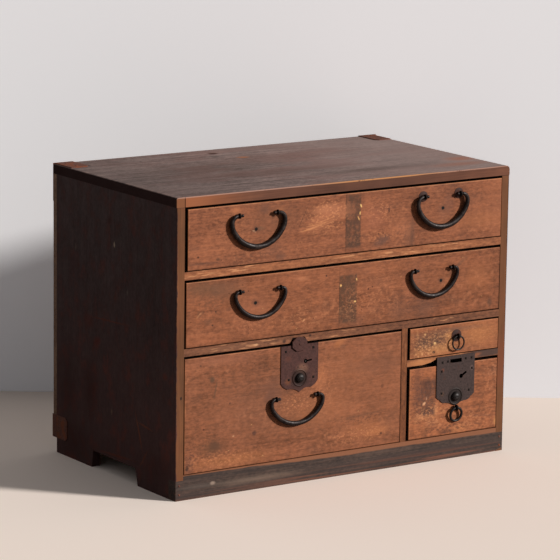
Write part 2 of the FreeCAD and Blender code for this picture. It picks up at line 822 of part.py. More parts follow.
large_lock_x = large_bail_x + large_plate_offset
large_plate_top = large_front[3] + large_plate_above_top
large_plate_side = large_plate_top - large_plate_side_height
large_plate_tip = large_plate_side - large_plate_tail
large_button_z = large_plate_tip + large_button_above_tip
large_key = (large_lock_x + key_offset, large_front[3] - large_key_below_top)
large_tab_x = large_lock_x + tab_offset
large_tab_z = large_front[3] + tab_above_top
large_slot_z = large_tab_z - tab_above_slot

square_lock_x = middle_of(square_front) + square_plate_offset
square_plate_top = square_front[3] + square_plate_above_top
square_plate_side = square_plate_top - square_plate_side_height
square_plate_tip = square_plate_side - square_plate_tail
square_button_z = square_plate_tip + square_button_above_tip
square_key = (square_lock_x + key_offset, square_front[3] - square_key_below_top)
square_slot_z = square_front[3] + square_slot_above_top
square_ring_z = square_plate_tip - square_ring_drop

bail_hole_radius = bail_end_radius + bail_running_clearance
small_ring_hole_radius = small_ring_wire + ring_clearance
square_ring_hole_radius = square_ring_wire + ring_clearance
bail_y = pin_level(bail_hole_radius)
rosette_bail_y = pin_level(bail_hole_radius, rosette_thick)
small_ring_y = pin_level(small_ring_hole_radius, rosette_thick)
square_ring_y = pin_level(square_ring_hole_radius, square_ring_stand)


def build_case():
    half_bay = (-inner_x, inner_x)
    upper_rail = make_rail(*half_bay, upper_rail_low, upper_rail_high)
    lower_rail = make_rail(*half_bay, lower_rail_low, lower_rail_high)
    small_rail = make_rail(partition_right, inner_x, small_rail_low, small_rail_high)
    shelves = [make_shelf(*half_bay, upper_rail_high), make_shelf(*half_bay, lower_rail_high),
               make_shelf(partition_right, inner_x, small_rail_high)]
    base_rail = make_base_rail()
    bottom_board = box(-inner_x - housing_depth, inner_x + housing_depth, base_rail_thick, case_depth,
                       bottom_under, bottom_top)
    seated = [upper_rail, lower_rail, small_rail, base_rail, bottom_board] + shelves
    sides = [make_side(sign, seated) for sign in (-1, 1)]
    nails = make_case_nails()
    save("left_side", sides[0].cut(nails))
    save("right_side", sides[1].cut(nails))
    save("partition", make_partition(seated))
    save("base_rail", base_rail.cut(nails))
    save("bottom_board", bottom_board)
    save("upper_rail", upper_rail)
    save("lower_rail", lower_rail.cut(rail_notch(large_lock_x, lower_rail_low, large_plate_half_width,
                                             lower_rail_thick, large_notch_shares)))
    save("small_rail", small_rail.cut(rail_notch(square_lock_x, small_rail_low, square_plate_half_width,
                                             small_rail_thick, square_notch_shares)))
    save("shelf_boards", *shelves)
    save("top_board", make_top_board().cut(nails))
    save("top_corner_block", make_corner_block())
    save("back_boards", *[board.cut(nails) for board in make_back_boards()])
    straps = [make_top_strap(-1), make_top_strap(1), make_base_strap(-1), make_base_strap(1)]
    save("corner_straps", *[strap.cut(nails) for strap in straps])
    save("case_nails", *nails)


def build_drawer(name, front, tools):
    """Saves a drawer's wood; tools are cut from its front."""
    face, frame, bottom = make_drawer(*front)
    save(name + "_front", face.cut(tools))
    save(name + "_box", *frame)
    save(name + "_bottom", bottom)


def bail_pins(x, y, z, spacing):
    """The two eye pins of a bail and the holes they need."""
    places = [x + sign * spacing / 2 for sign in (-1, 1)]
    pins = [make_pin(place, y, z, bail_hole_radius) for place in places]
    return pins, [pin_hole(place, z) for place in places]


def build_top_drawer():
    ys = (bail_y, rosette_bail_y)
    pins = []
    holes = []
    for name, x, y in zip(("top_left_bail", "top_right_bail"), top_bail_xs, ys):
        more_pins, more_holes = bail_pins(x, y, top_bail_z, thick_bail_spacing)
        pins += more_pins
        holes += more_holes
        save(name, make_bail(x, y, top_bail_z, thick_bail_spacing, thick_bail_half_width, thick_bail_drop,
                             thick_bail_shoulder, thick_bail_radius))
    build_drawer("top_drawer", top_front, holes)
    save("top_drawer_eye_pins", *pins)
    save("top_drawer_rosettes", *[make_rosette(top_bail_xs[1] + sign * thick_bail_spacing / 2, top_bail_z,
                                               rosette_radius) for sign in (-1, 1)])


def build_middle_drawer():
    pins = []
    holes = []
    for name, x in zip(("middle_left_bail", "middle_right_bail"), middle_bail_xs):
        more_pins, more_holes = bail_pins(x, bail_y, middle_bail_z, thin_bail_spacing)
        pins += more_pins
        holes += more_holes
        save(name, make_bail(x, bail_y, middle_bail_z, thin_bail_spacing, thin_bail_half_width,
                             thin_bail_drop, thin_bail_shoulder, thin_bail_radius))
    build_drawer("middle_drawer", middle_front, holes)
    save("middle_drawer_eye_pins", *pins)


def plate_nails(x, top, side_height, half, shares, length):
    return [nail(V(x + half * across, plate_face, top - side_height * down), y_axis * -1,
                 plate_nail_head_half, length) for across, down in shares]


def build_lock(name, x, drawer_top, button_z, nails, wire, cut_outs, key):
    """Saves a lock's plate, nails, button, tray, bolt and spring, and gives the room they need."""
    low = button_z - lock_case_below_button
    high = drawer_top - lock_case_below_top
    case = make_lock_case(x, low, high, key)
    save(name + "_lock_plate", make_plate(wire, cut_outs + nails, x, button_z))
    save(name + "_lock_nails", *nails)
    save(name + "_lock_button", make_button(x, button_z))
    save(name + "_lock_case", case.cut(nails))
    save(name + "_lock_bolt", make_bolt(x, drawer_top))
    save(name + "_lock_spring", make_spring(x, button_z))
    mortise = tray_shape(x, low, high, lock_case_depth, 0)
    return [mortise, bolt_channel(x, high, drawer_top)] + nails


def build_large_drawer():
    x = large_lock_x
    nails = plate_nails(x, large_plate_top, large_plate_side_height, large_plate_half_width,
                        large_plate_nail_shares, plate_nail_length)
    wire = plate_outline(x, large_plate_top, large_plate_side, large_plate_tip, large_plate_half_width,
                         large_tail_shares, plate_face)
    slot_half = tab_stem_width / 2 + lock_clearance
    slot_rise = tab_stem_height / 2 + lock_clearance
    slot = box(large_tab_x - slot_half, large_tab_x + slot_half, plate_face, front_face,
               large_slot_z - slot_rise, large_slot_z + slot_rise)
    keyhole = make_keyhole(*large_key, large_keyhole_radius, large_key_slot_width, large_key_slot_angle)
    room = build_lock("large", x, large_front[3], large_button_z, nails, wire, [slot, keyhole], large_key)
    save("large_lock_tab", make_tab(large_tab_x, large_tab_z, large_slot_z))
    pins, holes = bail_pins(large_bail_x, bail_y, large_bail_z, large_bail_spacing)
    build_drawer("large_drawer", large_front, holes + room)
    save("large_drawer_eye_pins", *pins)
    save("large_bail", make_bail(large_bail_x, bail_y, large_bail_z, large_bail_spacing,
                                 large_bail_half_width, large_bail_drop, large_bail_shoulder,
                                 large_bail_radius))


def build_small_drawer():
    build_drawer("small_drawer", small_front, [pin_hole(small_ring_x, small_ring_z)])
    save("small_drawer_eye_pin", make_pin(small_ring_x, small_ring_y, small_ring_z, small_ring_hole_radius))
    save("small_drawer_rosette", make_rosette(small_ring_x, small_ring_z, small_rosette_radius))
    save("small_ring", make_ring(small_ring_x, small_ring_y, small_ring_z, small_ring_radius,
                                 small_ring_wire))


def build_square_drawer():
    x = square_lock_x
    nails = plate_nails(x, square_plate_top, square_plate_side_height, square_plate_half_width,
                        square_plate_nail_shares, plate_nail_length)
    # The upper four hold nothing behind the plate, which reaches over the rail there.
    nails += plate_nails(x, square_plate_top, square_plate_side_height, square_plate_half_width,
                         square_plate_rivet_shares, plate_thick)
    wire = plate_outline(x, square_plate_top, square_plate_side, square_plate_tip, square_plate_half_width,
                         square_tail_shares, plate_face)
    slot = box(x - square_slot_width / 2, x + square_slot_width / 2, plate_face, front_face,
               square_slot_z - square_slot_height / 2, square_slot_z + square_slot_height / 2)
    keyhole = make_keyhole(*square_key, square_keyhole_radius, square_key_slot_width, square_key_slot_angle)
    room = build_lock("square", x, square_front[3], square_button_z, nails, wire, [slot, keyhole], None)
    build_drawer("square_drawer", square_front, [pin_hole(x, square_ring_z)] + room)
    save("square_drawer_eye_pin", make_pin(x, square_ring_y, square_ring_z, square_ring_hole_radius))
    save("square_ring", make_ring(x, square_ring_y, square_ring_z, square_ring_radius, square_ring_wire,
                                  square_ring_lean))


def main():
    os.makedirs("parts", exist_ok=True)
    build_case()
    build_top_drawer()
    build_middle_drawer()
    build_large_drawer()
    build_small_drawer()
    build_square_drawer()


if __name__ == "__main__":
    main()
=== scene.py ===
import bpy
import bmesh
import math
from collections import namedtuple
from mathutils import Matrix, Vector, noise


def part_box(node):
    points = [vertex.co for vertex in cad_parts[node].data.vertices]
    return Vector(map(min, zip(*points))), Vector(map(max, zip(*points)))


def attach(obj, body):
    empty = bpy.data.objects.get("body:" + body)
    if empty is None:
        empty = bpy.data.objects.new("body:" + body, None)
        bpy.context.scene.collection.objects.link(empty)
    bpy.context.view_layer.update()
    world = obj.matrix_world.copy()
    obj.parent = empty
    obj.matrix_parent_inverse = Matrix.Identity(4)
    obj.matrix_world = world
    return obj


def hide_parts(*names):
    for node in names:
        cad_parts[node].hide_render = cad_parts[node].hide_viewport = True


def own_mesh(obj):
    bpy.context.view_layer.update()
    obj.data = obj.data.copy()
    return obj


# Looks of an old clothing chest: aged reddish wood, forged iron bails and rings, two iron lock plates.
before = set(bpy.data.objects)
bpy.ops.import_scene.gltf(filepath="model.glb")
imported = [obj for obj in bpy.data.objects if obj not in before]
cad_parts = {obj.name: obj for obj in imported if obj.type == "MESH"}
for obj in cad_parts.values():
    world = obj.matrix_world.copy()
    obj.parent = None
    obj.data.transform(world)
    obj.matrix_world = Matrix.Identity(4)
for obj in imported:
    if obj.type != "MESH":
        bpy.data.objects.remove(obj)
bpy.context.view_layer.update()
scene = bpy.context.scene

MM = 0.001
FRONT_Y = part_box("upper_rail")[0].y      # the case's front plane in the row frame
CASE_HALF = 370.0
TOP_Z = 553.0


def place(x, y, z):
    """Millimetres from the middle of the case's front plane, at floor level, to metres in the row frame."""
    return Vector((x * MM, y * MM + FRONT_Y, z * MM))


def box_mm(node):
    """The lowest and the highest corner of a node's box, in the millimetres that place takes."""
    low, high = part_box(node)
    shift = Vector((0, FRONT_Y, 0))
    return (low - shift) / MM, (high - shift) / MM


def as_light(colour):
    """Linear light from a colour as it is seen, three numbers, 0 to 255; anything else is left as it is."""
    if not isinstance(colour, tuple) or len(colour) != 3:
        return colour
    shares = [value / 255 for value in colour]
    return tuple(s / 12.92 if s <= 0.04045 else ((s + 0.055) / 1.055) ** 2.4 for s in shares) + (1.0,)


# Sockets of a Mix node for colours, by number, because several of them share a name
MIX_FIRST = 6
MIX_SECOND = 7
MIX_RESULT = 2

# How large the ragged steps of an outline are, and how far they reach, in millimetres
COARSE_RAG = (6, 2.5)
FINE_RAG = (2.5, 1.7)
DOT_RAG = (3.5, 2.4)


class Graph:
    """A node material. Values are sockets, numbers, vectors, or colours as three numbers, 0 to 255."""

    def __init__(self, name):
        self.material = bpy.data.materials.new(name)
        self.material.use_nodes = True
        self.tree = self.material.node_tree
        self.tree.nodes.clear()
        self.shader = self.add("ShaderNodeBsdfPrincipled")
        output = self.add("ShaderNodeOutputMaterial")
        self.feed(output.inputs["Surface"], self.shader.outputs["BSDF"])
        coordinates = self.add("ShaderNodeTexCoord")
        shift = (0.0, -FRONT_Y / MM, 0.0)
        self.point = self.vector("MULTIPLY_ADD", coordinates.outputs["Object"], (1 / MM,) * 3, shift)
        self.x, self.y, self.z = self.split(self.point)
        self.colour = None
        self.height = None
        self.shaken = {}

    def add(self, kind, **settings):
        made = self.tree.nodes.new(kind)
        for key, value in settings.items():
            setattr(made, key, value)
        return made

    def feed(self, socket, value):
        if isinstance(value, bpy.types.NodeSocket):
            self.tree.links.new(value, socket)
        else:
            socket.default_value = value

    def fill(self, node, **values):
        for name, value in values.items():
            self.feed(node.inputs[name], value)

    def split(self, point):
        made = self.add("ShaderNodeSeparateXYZ")
        self.feed(made.inputs[0], point)
        return made.outputs

    def math(self, operation, *values, clamp=False):
        made = self.add("ShaderNodeMath", operation=operation, use_clamp=clamp)
        for socket, value in zip(made.inputs, values):
            self.feed(socket, value)
        return made.outputs[0]

    def times(self, first, second):
        return self.math("MULTIPLY", first, second)

    def plus(self, total, *others):
        for other in others:
            total = self.math("ADD", total, other)
        return total

    def minus(self, first, second):
        return self.math("SUBTRACT", first, second)

    def away(self, value, middle):
        """How far a value is from a middle, on either side."""
        return self.math("ABSOLUTE", self.minus(value, middle))

    def vector(self, operation, *values):
        made = self.add("ShaderNodeVectorMath", operation=operation)
        for socket, value in zip(made.inputs, values):
            self.feed(socket, value)
        return made.outputs["Value" if operation == "LENGTH" else "Vector"]

    def remap(self, value, low, high, to_low=0.0, to_high=1.0):
        made = self.add("ShaderNodeMapRange", interpolation_type="SMOOTHSTEP")
        for socket, given in zip(made.inputs, (value, low, high, to_low, to_high)):
            self.feed(socket, given)
        return made.outputs[0]

    def mix(self, factor, first, second):
        made = self.add("ShaderNodeMix", data_type="RGBA", clamp_factor=True)
        self.feed(made.inputs[0], factor)
        self.feed(made.inputs[MIX_FIRST], as_light(first))
        self.feed(made.inputs[MIX_SECOND], as_light(second))
        return made.outputs[MIX_RESULT]

    def lay(self, mask, over, strength=1.0):
        """Lays a colour over the material's own where the mask is 1."""
        if strength != 1.0:
            mask = self.times(mask, strength)
        self.colour = self.mix(mask, self.colour, over)

    def noise(self, size, detail=3, roughness=0.5, distortion=0.0, seed=0.0, colour=False):
        """Noise whose features have a size in millimetres: one number, or three along x, y and z."""
        sizes = size if isinstance(size, tuple) else (size,) * 3
        scale = tuple(1 / s for s in sizes)
        scaled = self.vector("MULTIPLY_ADD", self.point, scale, (seed, seed * 1.7, seed * 2.3))
        made = self.add("ShaderNodeTexNoise")
        self.fill(made, Vector=scaled, Scale=1.0, Detail=detail, Roughness=roughness, Distortion=distortion)
        return made.outputs["Color" if colour else "Fac"]

    def centred(self, value, amount):
        """Noise about 0.5 as a change about 0."""
        return self.math("MULTIPLY_ADD", value, amount, -0.5 * amount)

    def jittered(self, size, amount, seed=5.5):
        """The point, pushed about by noise, so that what is drawn with it gets a ragged outline."""
        key = (size, amount, seed)
        if key not in self.shaken:
            shake = self.noise(size, detail=2, seed=seed, colour=True)
            shift = self.vector("MULTIPLY_ADD", shake, (amount,) * 3, (-0.5 * amount,) * 3)
            self.shaken[key] = self.vector("ADD", self.point, shift)
        return self.shaken[key]

    def dots(self, spacing, radius, share, seed, stretch=1.0):
        """Scattered ragged dots: 1 inside, 0 outside; share is how many of the cells have one."""
        scale = (1 / spacing / stretch, 1 / spacing, 1 / spacing)
        offset = (seed, seed * 1.3, seed * 0.7)
        scaled = self.vector("MULTIPLY_ADD", self.jittered(*DOT_RAG), scale, offset)
        cells = self.add("ShaderNodeTexVoronoi")
        self.fill(cells, Vector=scaled, Scale=1.0)
        chance = self.add("ShaderNodeSeparateColor")
        self.feed(chance.inputs[0], cells.outputs["Color"])
        size = self.math("MULTIPLY_ADD", chance.outputs[1], 0.7, 0.3)
        reach = self.math("DIVIDE", cells.outputs["Distance"], size)
        dot = self.remap(reach, radius / spacing, radius / spacing * 0.45)
        return self.times(dot, self.math("LESS_THAN", chance.outputs[0], share))

    def placed(self, centre, half, angle=(0, 0, 0), warp=None):
        """The point in the frame of an ellipsoid or a block, where its surface is at 1."""
        made = self.add("ShaderNodeMapping", vector_type="TEXTURE")
        turn = [math.radians(degrees) for degrees in angle]
        self.fill(made, Vector=warp or self.point, Location=centre, Rotation=turn, Scale=half)
        return made.outputs[0]

    def spot(self, centre, half, angle=(0, 0, 0), soft=0.35, square=False, warp=None):
        """A mask, 1 inside an ellipsoid or a block and 0 outside, in millimetres."""
        local = self.placed(centre, half, angle, warp)
        if square:
            sides = [self.math("ABSOLUTE", side) for side in self.split(local)]
            reach = self.math("MAXIMUM", self.math("MAXIMUM", sides[0], sides[1]), sides[2])
        else:
            reach = self.vector("LENGTH", local)
        return self.remap(reach, 1 + soft, 1 - soft)

    def rough(self, noise, low, high):
        """A roughness that a noise varies between two values."""
        return self.remap(noise, 0.3, 0.7, low, high)

    def finish(self, roughness, height, bump_mm, specular, metallic=0.0):
        """Connects the colour, the roughness and the bump of a height, and returns the material."""
        bump = self.add("ShaderNodeBump")
        self.fill(bump, Distance=bump_mm * MM, Strength=1.0, Height=height)
        self.feed(self.shader.inputs["Base Color"], self.colour)
        self.feed(self.shader.inputs["Specular IOR Level"], specular)
        self.fill(self.shader, Roughness=roughness, Metallic=metallic, Normal=bump.outputs[0])
        return self.material


# What the woods share
PALE_WEAR = (205, 135, 88)
EDGE_DARKENING = (62, 38, 27)
FLECK = (226, 176, 116)
DARK_SPECK = (52, 30, 20)
# Painted shade for the edges in the gaps and the wood just behind a front face
GAP_SHADE = (28, 17, 13)


def grain_size(axis, along, across):
    return tuple(along if letter == axis else across for letter in "xyz")


def wood_base(graph, pale, deep, grain, seed, streak=1.0, fibre=0.8, cloud=0.9, banding=0.0):
    """Starts a wood's colour and height: fibres, streaks and flecks along the grain, clouds, faint bands."""
    fibres = graph.noise(grain_size(grain, 55, 1.7), roughness=0.6, seed=seed)
    streaks = graph.noise(grain_size(grain, 240, 11), roughness=0.55, distortion=0.25, seed=seed + 3)
    clouds = graph.noise(75, roughness=0.55, seed=seed + 7)
    flecks = graph.noise(grain_size(grain, 9, 4.5), roughness=0.65, seed=seed + 9)
    level = 0.5
    for part, amount in ((fibres, fibre), (streaks, streak), (clouds, cloud), (flecks, 1.8)):
        level = graph.plus(level, graph.centred(part, amount))
    if banding:
        bands = graph.noise(grain_size("z", 300, 16), detail=2, seed=seed + 11)
        level = graph.plus(level, graph.centred(bands, banding))
    graph.colour = graph.mix(graph.math("ADD", level, 0.0, clamp=True), deep, pale)
    graph.height = graph.plus(graph.times(fibres, 0.6), graph.times(streaks, 1.2))


def edge_wood(graph, fibre_size, patch_size, patching, seed, deep, pale):
    """The plainer wood of a front edge: fibres and patches between two tints."""
    fibres = graph.noise(fibre_size, seed=seed)
    patches = graph.noise(patch_size, seed=seed + 2)
    level = graph.plus(graph.centred(patches, patching), 0.5)
    return graph.mix(graph.math("ADD", graph.centred(fibres, 0.9), level, clamp=True), deep, pale)


def bare_wood(graph, seed, grain="x"):
    """Untreated wood that has darkened with age."""
    level = graph.noise(grain_size(grain, 70, 6), detail=4, roughness=0.65, seed=seed + 51)
    return graph.mix(graph.remap(level, 0.3, 0.7), (92, 66, 48), (142, 106, 76))


def hidden_wood(graph, seed, back):
    """Behind the front face: painted shade on the edges in the gaps, dark wood further in, bare wood at the
    back.
    """
    edge = graph.mix(graph.remap(graph.y, 8, 14), GAP_SHADE, (70, 47, 35))
    edge = graph.mix(graph.remap(graph.y, back - 0.7, back - 0.2), edge, bare_wood(graph, seed))
    graph.lay(graph.remap(graph.y, 0.5, 1.3), edge)


def edge_lines(graph, low, high, edges, warp):
    """Pale wear (above 0) or a darker line (below 0) along the edges of a front face."""
    wobble = graph.centred(warp, 5)
    distances = {
        "left": graph.minus(graph.x, low.x),
        "right": graph.minus(high.x, graph.x),
        "bottom": graph.minus(graph.z, low.z),
        "top": graph.minus(high.z, graph.z),
    }
    for side, (amount, width) in edges.items():
        mask = graph.remap(graph.plus(distances[side], wobble), width, 0.0, 0.0, abs(amount))
        graph.lay(mask, PALE_WEAR if amount > 0 else EDGE_DARKENING)


# A mark's place and half sizes on its face in millimetres, its tint, its strength, the softness of its
# outline, its turn in degrees, and whether it is a block with a blotchy inside instead of an oval
MARK_PARTS = "across up half_across half_up tint strength soft angle square"
Mark = namedtuple("Mark", MARK_PARTS, defaults=(0, False))
MARK_DEPTH = 12
SMALL_MARK = 6.0
X_AXIS, Y_AXIS, Z_AXIS = range(3)


def lay_marks(graph, marks, axis, level, coarse, fine, strengthening=1.0):
    """Stains, scratches and chips on a face that is square to an axis, at a level along it."""
    blots = graph.noise((7, 7, 10), roughness=0.6, seed=71)
    blotches = graph.remap(blots, 0.36, 0.58, 0.55, 1.0)
    for row in marks:
        mark = Mark(*row)
        centre = [mark.across, mark.up]
        half = [mark.half_across, mark.half_up]
        warp = fine if max(half) < SMALL_MARK else coarse
        centre.insert(axis, level)
        half.insert(axis, MARK_DEPTH)
        turn = [0, 0, 0]
        turn[axis] = mark.angle
        mask = graph.spot(centre, half, turn, mark.soft, mark.square, warp)
        if mark.square:
            mask = graph.times(mask, blotches)
        graph.lay(mask, mark.tint, min(1.0, mark.strength * strengthening))


def front_marks(graph, marks, reach=COARSE_RAG[1]):
    """Marks on a face at the front; reach is how ragged the large ones are."""
    lay_marks(graph, marks, Y_AXIS, 0, graph.jittered(COARSE_RAG[0], reach), graph.jittered(*FINE_RAG))


LIGHT_TINT = 130


def speckled(graph, areas, seed):
    """Areas where small flecks of a lighter or a darker tint lie close together."""
    grit = graph.noise((5.5, 5.5, 3.6), roughness=0.6, seed=seed)
    for x, z, half_x, half_z, tint, strength in areas:
        area = graph.spot((x, 0, z), (half_x, MARK_DEPTH, half_z), soft=0.75)
        start, full = (0.52, 0.62) if tint[0] > LIGHT_TINT else (0.48, 0.38)
        graph.lay(graph.times(area, graph.remap(grit, start, full, 0.0, strength)), tint)


# Drawer fronts, by drawer. Holes are x and z, areas are x, z, half sizes, tint and strength, and marks
# are rows of Mark.
FRONTS, AREAS, MARKS = {}, {}, {}
FRONTS["top"] = dict(
    pale=(167, 101, 68), deep=(106, 61, 40), seed=1.0, specks=0.4,
    edges={"top": (0.55, 2.4), "left": (0.5, 2.6), "right": (0.3, 1.5), "bottom": (-0.5, 3.5)},
    holes=[(214.5, 485), (-202, 482.5)])
AREAS["top"] = [
    (-50, 488, 42, 24, (216, 144, 96), 0.5),
    (-40, 508, 30, 12, (206, 134, 92), 0.55),
    (72, 490, 30, 18, (202, 130, 90), 0.55),
    (70, 446, 46, 12, (204, 130, 86), 0.4),
    (-190, 436, 70, 12, (104, 66, 48), 0.5),
    (11, 452, 17, 22, (150, 96, 66), 0.35),
    (130, 440, 30, 26, (96, 62, 48), 0.5),
    (-250, 480, 40, 40, (190, 120, 80), 0.3),
]
MARKS["top"] = [
    (11, 478, 16.5, 49, (82, 56, 42), 0.86, 0.1, 0, True),
    (11, 434, 15, 6, (76, 54, 42), 0.45, 0.5),
    (-5.5, 478, 1, 50, (58, 38, 28), 0.7, 0.5, 0, True),
    (27.7, 505.5, 1.5, 3.2, (240, 192, 122), 0.9, 0.4, -25),
    (25.7, 492, 1.2, 3.2, (236, 186, 114), 0.9, 0.4, 5),
    (22.8, 482.5, 1.3, 4, (226, 168, 102), 0.8, 0.5, -25),
    (91, 492, 2, 6, (72, 42, 32), 0.7, 0.5),
    (144, 446, 4.5, 24, (92, 60, 46), 0.75, 0.8),
    (136, 440, 11, 20, (112, 74, 56), 0.5, 0.9),
    (76, 436, 17, 8, (104, 72, 60), 0.7, 0.6, -15),
    (228, 492, 9, 22, (124, 80, 62), 0.45, 0.8),
    (215, 478, 9, 18, (132, 86, 66), 0.3, 0.8),
    (-86, 471.5, 17, 1.3, (212, 142, 94), 0.7, 0.6, -8),
    (-72, 475.5, 20, 1.1, (218, 150, 100), 0.7, 0.5, -11),
    (-62, 480, 20, 1.2, (206, 136, 92), 0.65, 0.6, -9),
    (-50, 486, 17, 1.3, (200, 130, 88), 0.6, 0.6, -13),
    (-83, 478, 11, 0.9, (206, 138, 92), 0.6, 0.5, -6),
    (-42, 480, 9, 1, (198, 128, 88), 0.6, 0.5, -15),
    (-66, 478, 30, 8, (186, 116, 78), 0.45, 0.8, -10),
    (-60, 492, 26, 5.5, (190, 118, 82), 0.55, 0.8, -12),
    (-52, 506, 24, 7, (198, 128, 90), 0.6, 0.8, -8),
    (-20, 500, 26, 12, (184, 116, 82), 0.5, 0.8),
    (-100.5, 495, 0.7, 24, (74, 42, 30), 0.75, 0.4, 27),
    (-207.5, 479.8, 2.6, 1.1, (214, 170, 134), 0.8, 0.5, 12),
    (-204, 477.2, 1.6, 0.9, (206, 160, 124), 0.7, 0.5, -10),
    (-193, 483, 8, 3.5, (124, 86, 62), 0.6, 0.6),
    (-246, 520, 9, 5, (196, 122, 78), 0.5, 0.8),
    (-150, 514, 8, 4, (188, 116, 76), 0.5, 0.8),
    (-184, 518, 10, 9, (104, 68, 54), 0.6, 0.8),
    (-160, 500, 50, 26, (122, 80, 58), 0.35, 0.9),
    (-148, 427, 9, 6, (104, 70, 56), 0.55, 0.7),
    (-165, 440, 22, 14, (120, 78, 60), 0.4, 0.9),
    (-316, 430, 36, 2.4, (86, 56, 44), 0.55, 0.7, 2),
    (-283, 435, 3.5, 2.5, (84, 54, 38), 0.7, 0.5),
    (-325, 442.5, 2, 1.8, (60, 36, 26), 0.8, 0.4),
    (310, 455, 60, 14, (172, 106, 68), 0.45, 0.9),
    (120, 455, 22, 16, (178, 110, 76), 0.5, 0.9),
    (56, 480, 20, 18, (172, 104, 76), 0.4, 0.9),
    (350, 480, 30, 50, (176, 108, 74), 0.35, 0.9),
]
FRONTS["middle"] = dict(
    pale=(163, 98, 65), deep=(106, 61, 38), seed=2.0, specks=0.4,
    holes=[(213.8, 347.3), (-201.8, 347.4)],
    edges={"top": (0.45, 2.2), "left": (0.25, 2.0), "right": (-0.3, 4), "bottom": (-0.35, 3.0)})
AREAS["middle"] = [
    (2, 318, 19, 28, (140, 96, 66), 0.6),
    (60, 330, 60, 40, (198, 126, 86), 0.35),
    (-200, 310, 60, 18, (196, 124, 84), 0.35),
    (-300, 350, 50, 40, (104, 68, 48), 0.45),
    (150, 310, 70, 30, (92, 58, 44), 0.5),
    (-90, 310, 40, 24, (204, 134, 92), 0.35),
]
MARKS["middle"] = [
    (2, 334, 19.5, 45, (84, 58, 42), 0.84, 0.09, 0, True),
    (-17.5, 334, 1, 46, (62, 40, 28), 0.6, 0.5, 0, True),
    (-14.7, 360.5, 2, 2.2, (236, 182, 112), 0.9, 0.4),
    (20.5, 368.7, 1.4, 2.4, (232, 178, 112), 0.85, 0.4, -20),
    (17.5, 327.4, 2.4, 1.8, (238, 188, 118), 0.9, 0.4),
    (-47.2, 381.8, 2, 1.8, (58, 34, 26), 0.85, 0.4),
    (47.3, 348, 1.8, 1.8, (60, 34, 26), 0.85, 0.4),
    (56.3, 351.1, 1.4, 1.4, (60, 34, 26), 0.8, 0.4),
    (48.9, 334.5, 2, 1.6, (70, 40, 30), 0.8, 0.4),
    (329.6, 294, 5, 7, (90, 60, 44), 0.75, 0.7),
    (174, 300, 26, 18, (108, 72, 56), 0.6, 0.9),
    (120, 300, 20, 22, (112, 74, 56), 0.45, 0.9),
    (150, 352, 18, 30, (150, 92, 66), 0.4, 0.9),
    (-312, 384, 38, 12, (112, 78, 56), 0.6, 0.9, 4),
    (-262, 374, 30, 16, (122, 82, 60), 0.45, 0.9),
    (-322, 337, 7, 1.4, (206, 144, 100), 0.45, 0.7, -40),
    (-287, 340, 2, 1.7, (66, 40, 28), 0.8, 0.4),
    (-293.6, 315.7, 2.2, 1.8, (60, 36, 26), 0.8, 0.4),
    (-302, 322, 8, 5, (104, 70, 52), 0.5, 0.8),
    (-96, 304, 3.5, 1.6, (214, 150, 104), 0.7, 0.5, -35),
    (-100, 382, 12, 3, (196, 126, 88), 0.5, 0.8),
    (-208, 330, 34, 26, (176, 108, 76), 0.4, 0.9),
    (300, 345, 26, 22, (170, 104, 66), 0.45, 0.9),
    (252, 372, 22, 3, (104, 74, 56), 0.5, 0.8, -35),
]
FRONTS["large"] = dict(
    pale=(160, 97, 66), deep=(102, 61, 39), seed=3.0, specks=0.45,
    edges={"top": (0.35, 2.2), "left": (0.35, 2.2), "right": (-0.2, 2.5), "bottom": (-0.25, 2.0)})
AREAS["large"] = [
    (-270, 66, 80, 14, (206, 134, 90), 0.45),
    (30, 74, 60, 14, (208, 136, 90), 0.5),
    (-110, 150, 40, 16, (206, 134, 90), 0.5),
    (-50, 180, 24, 40, (198, 124, 82), 0.4),
    (-300, 100, 44, 30, (96, 62, 46), 0.5),
    (-250, 220, 90, 40, (108, 70, 52), 0.35),
    (40, 104, 60, 10, (88, 56, 42), 0.55),
    (-340, 70, 14, 24, (84, 52, 42), 0.6),
]
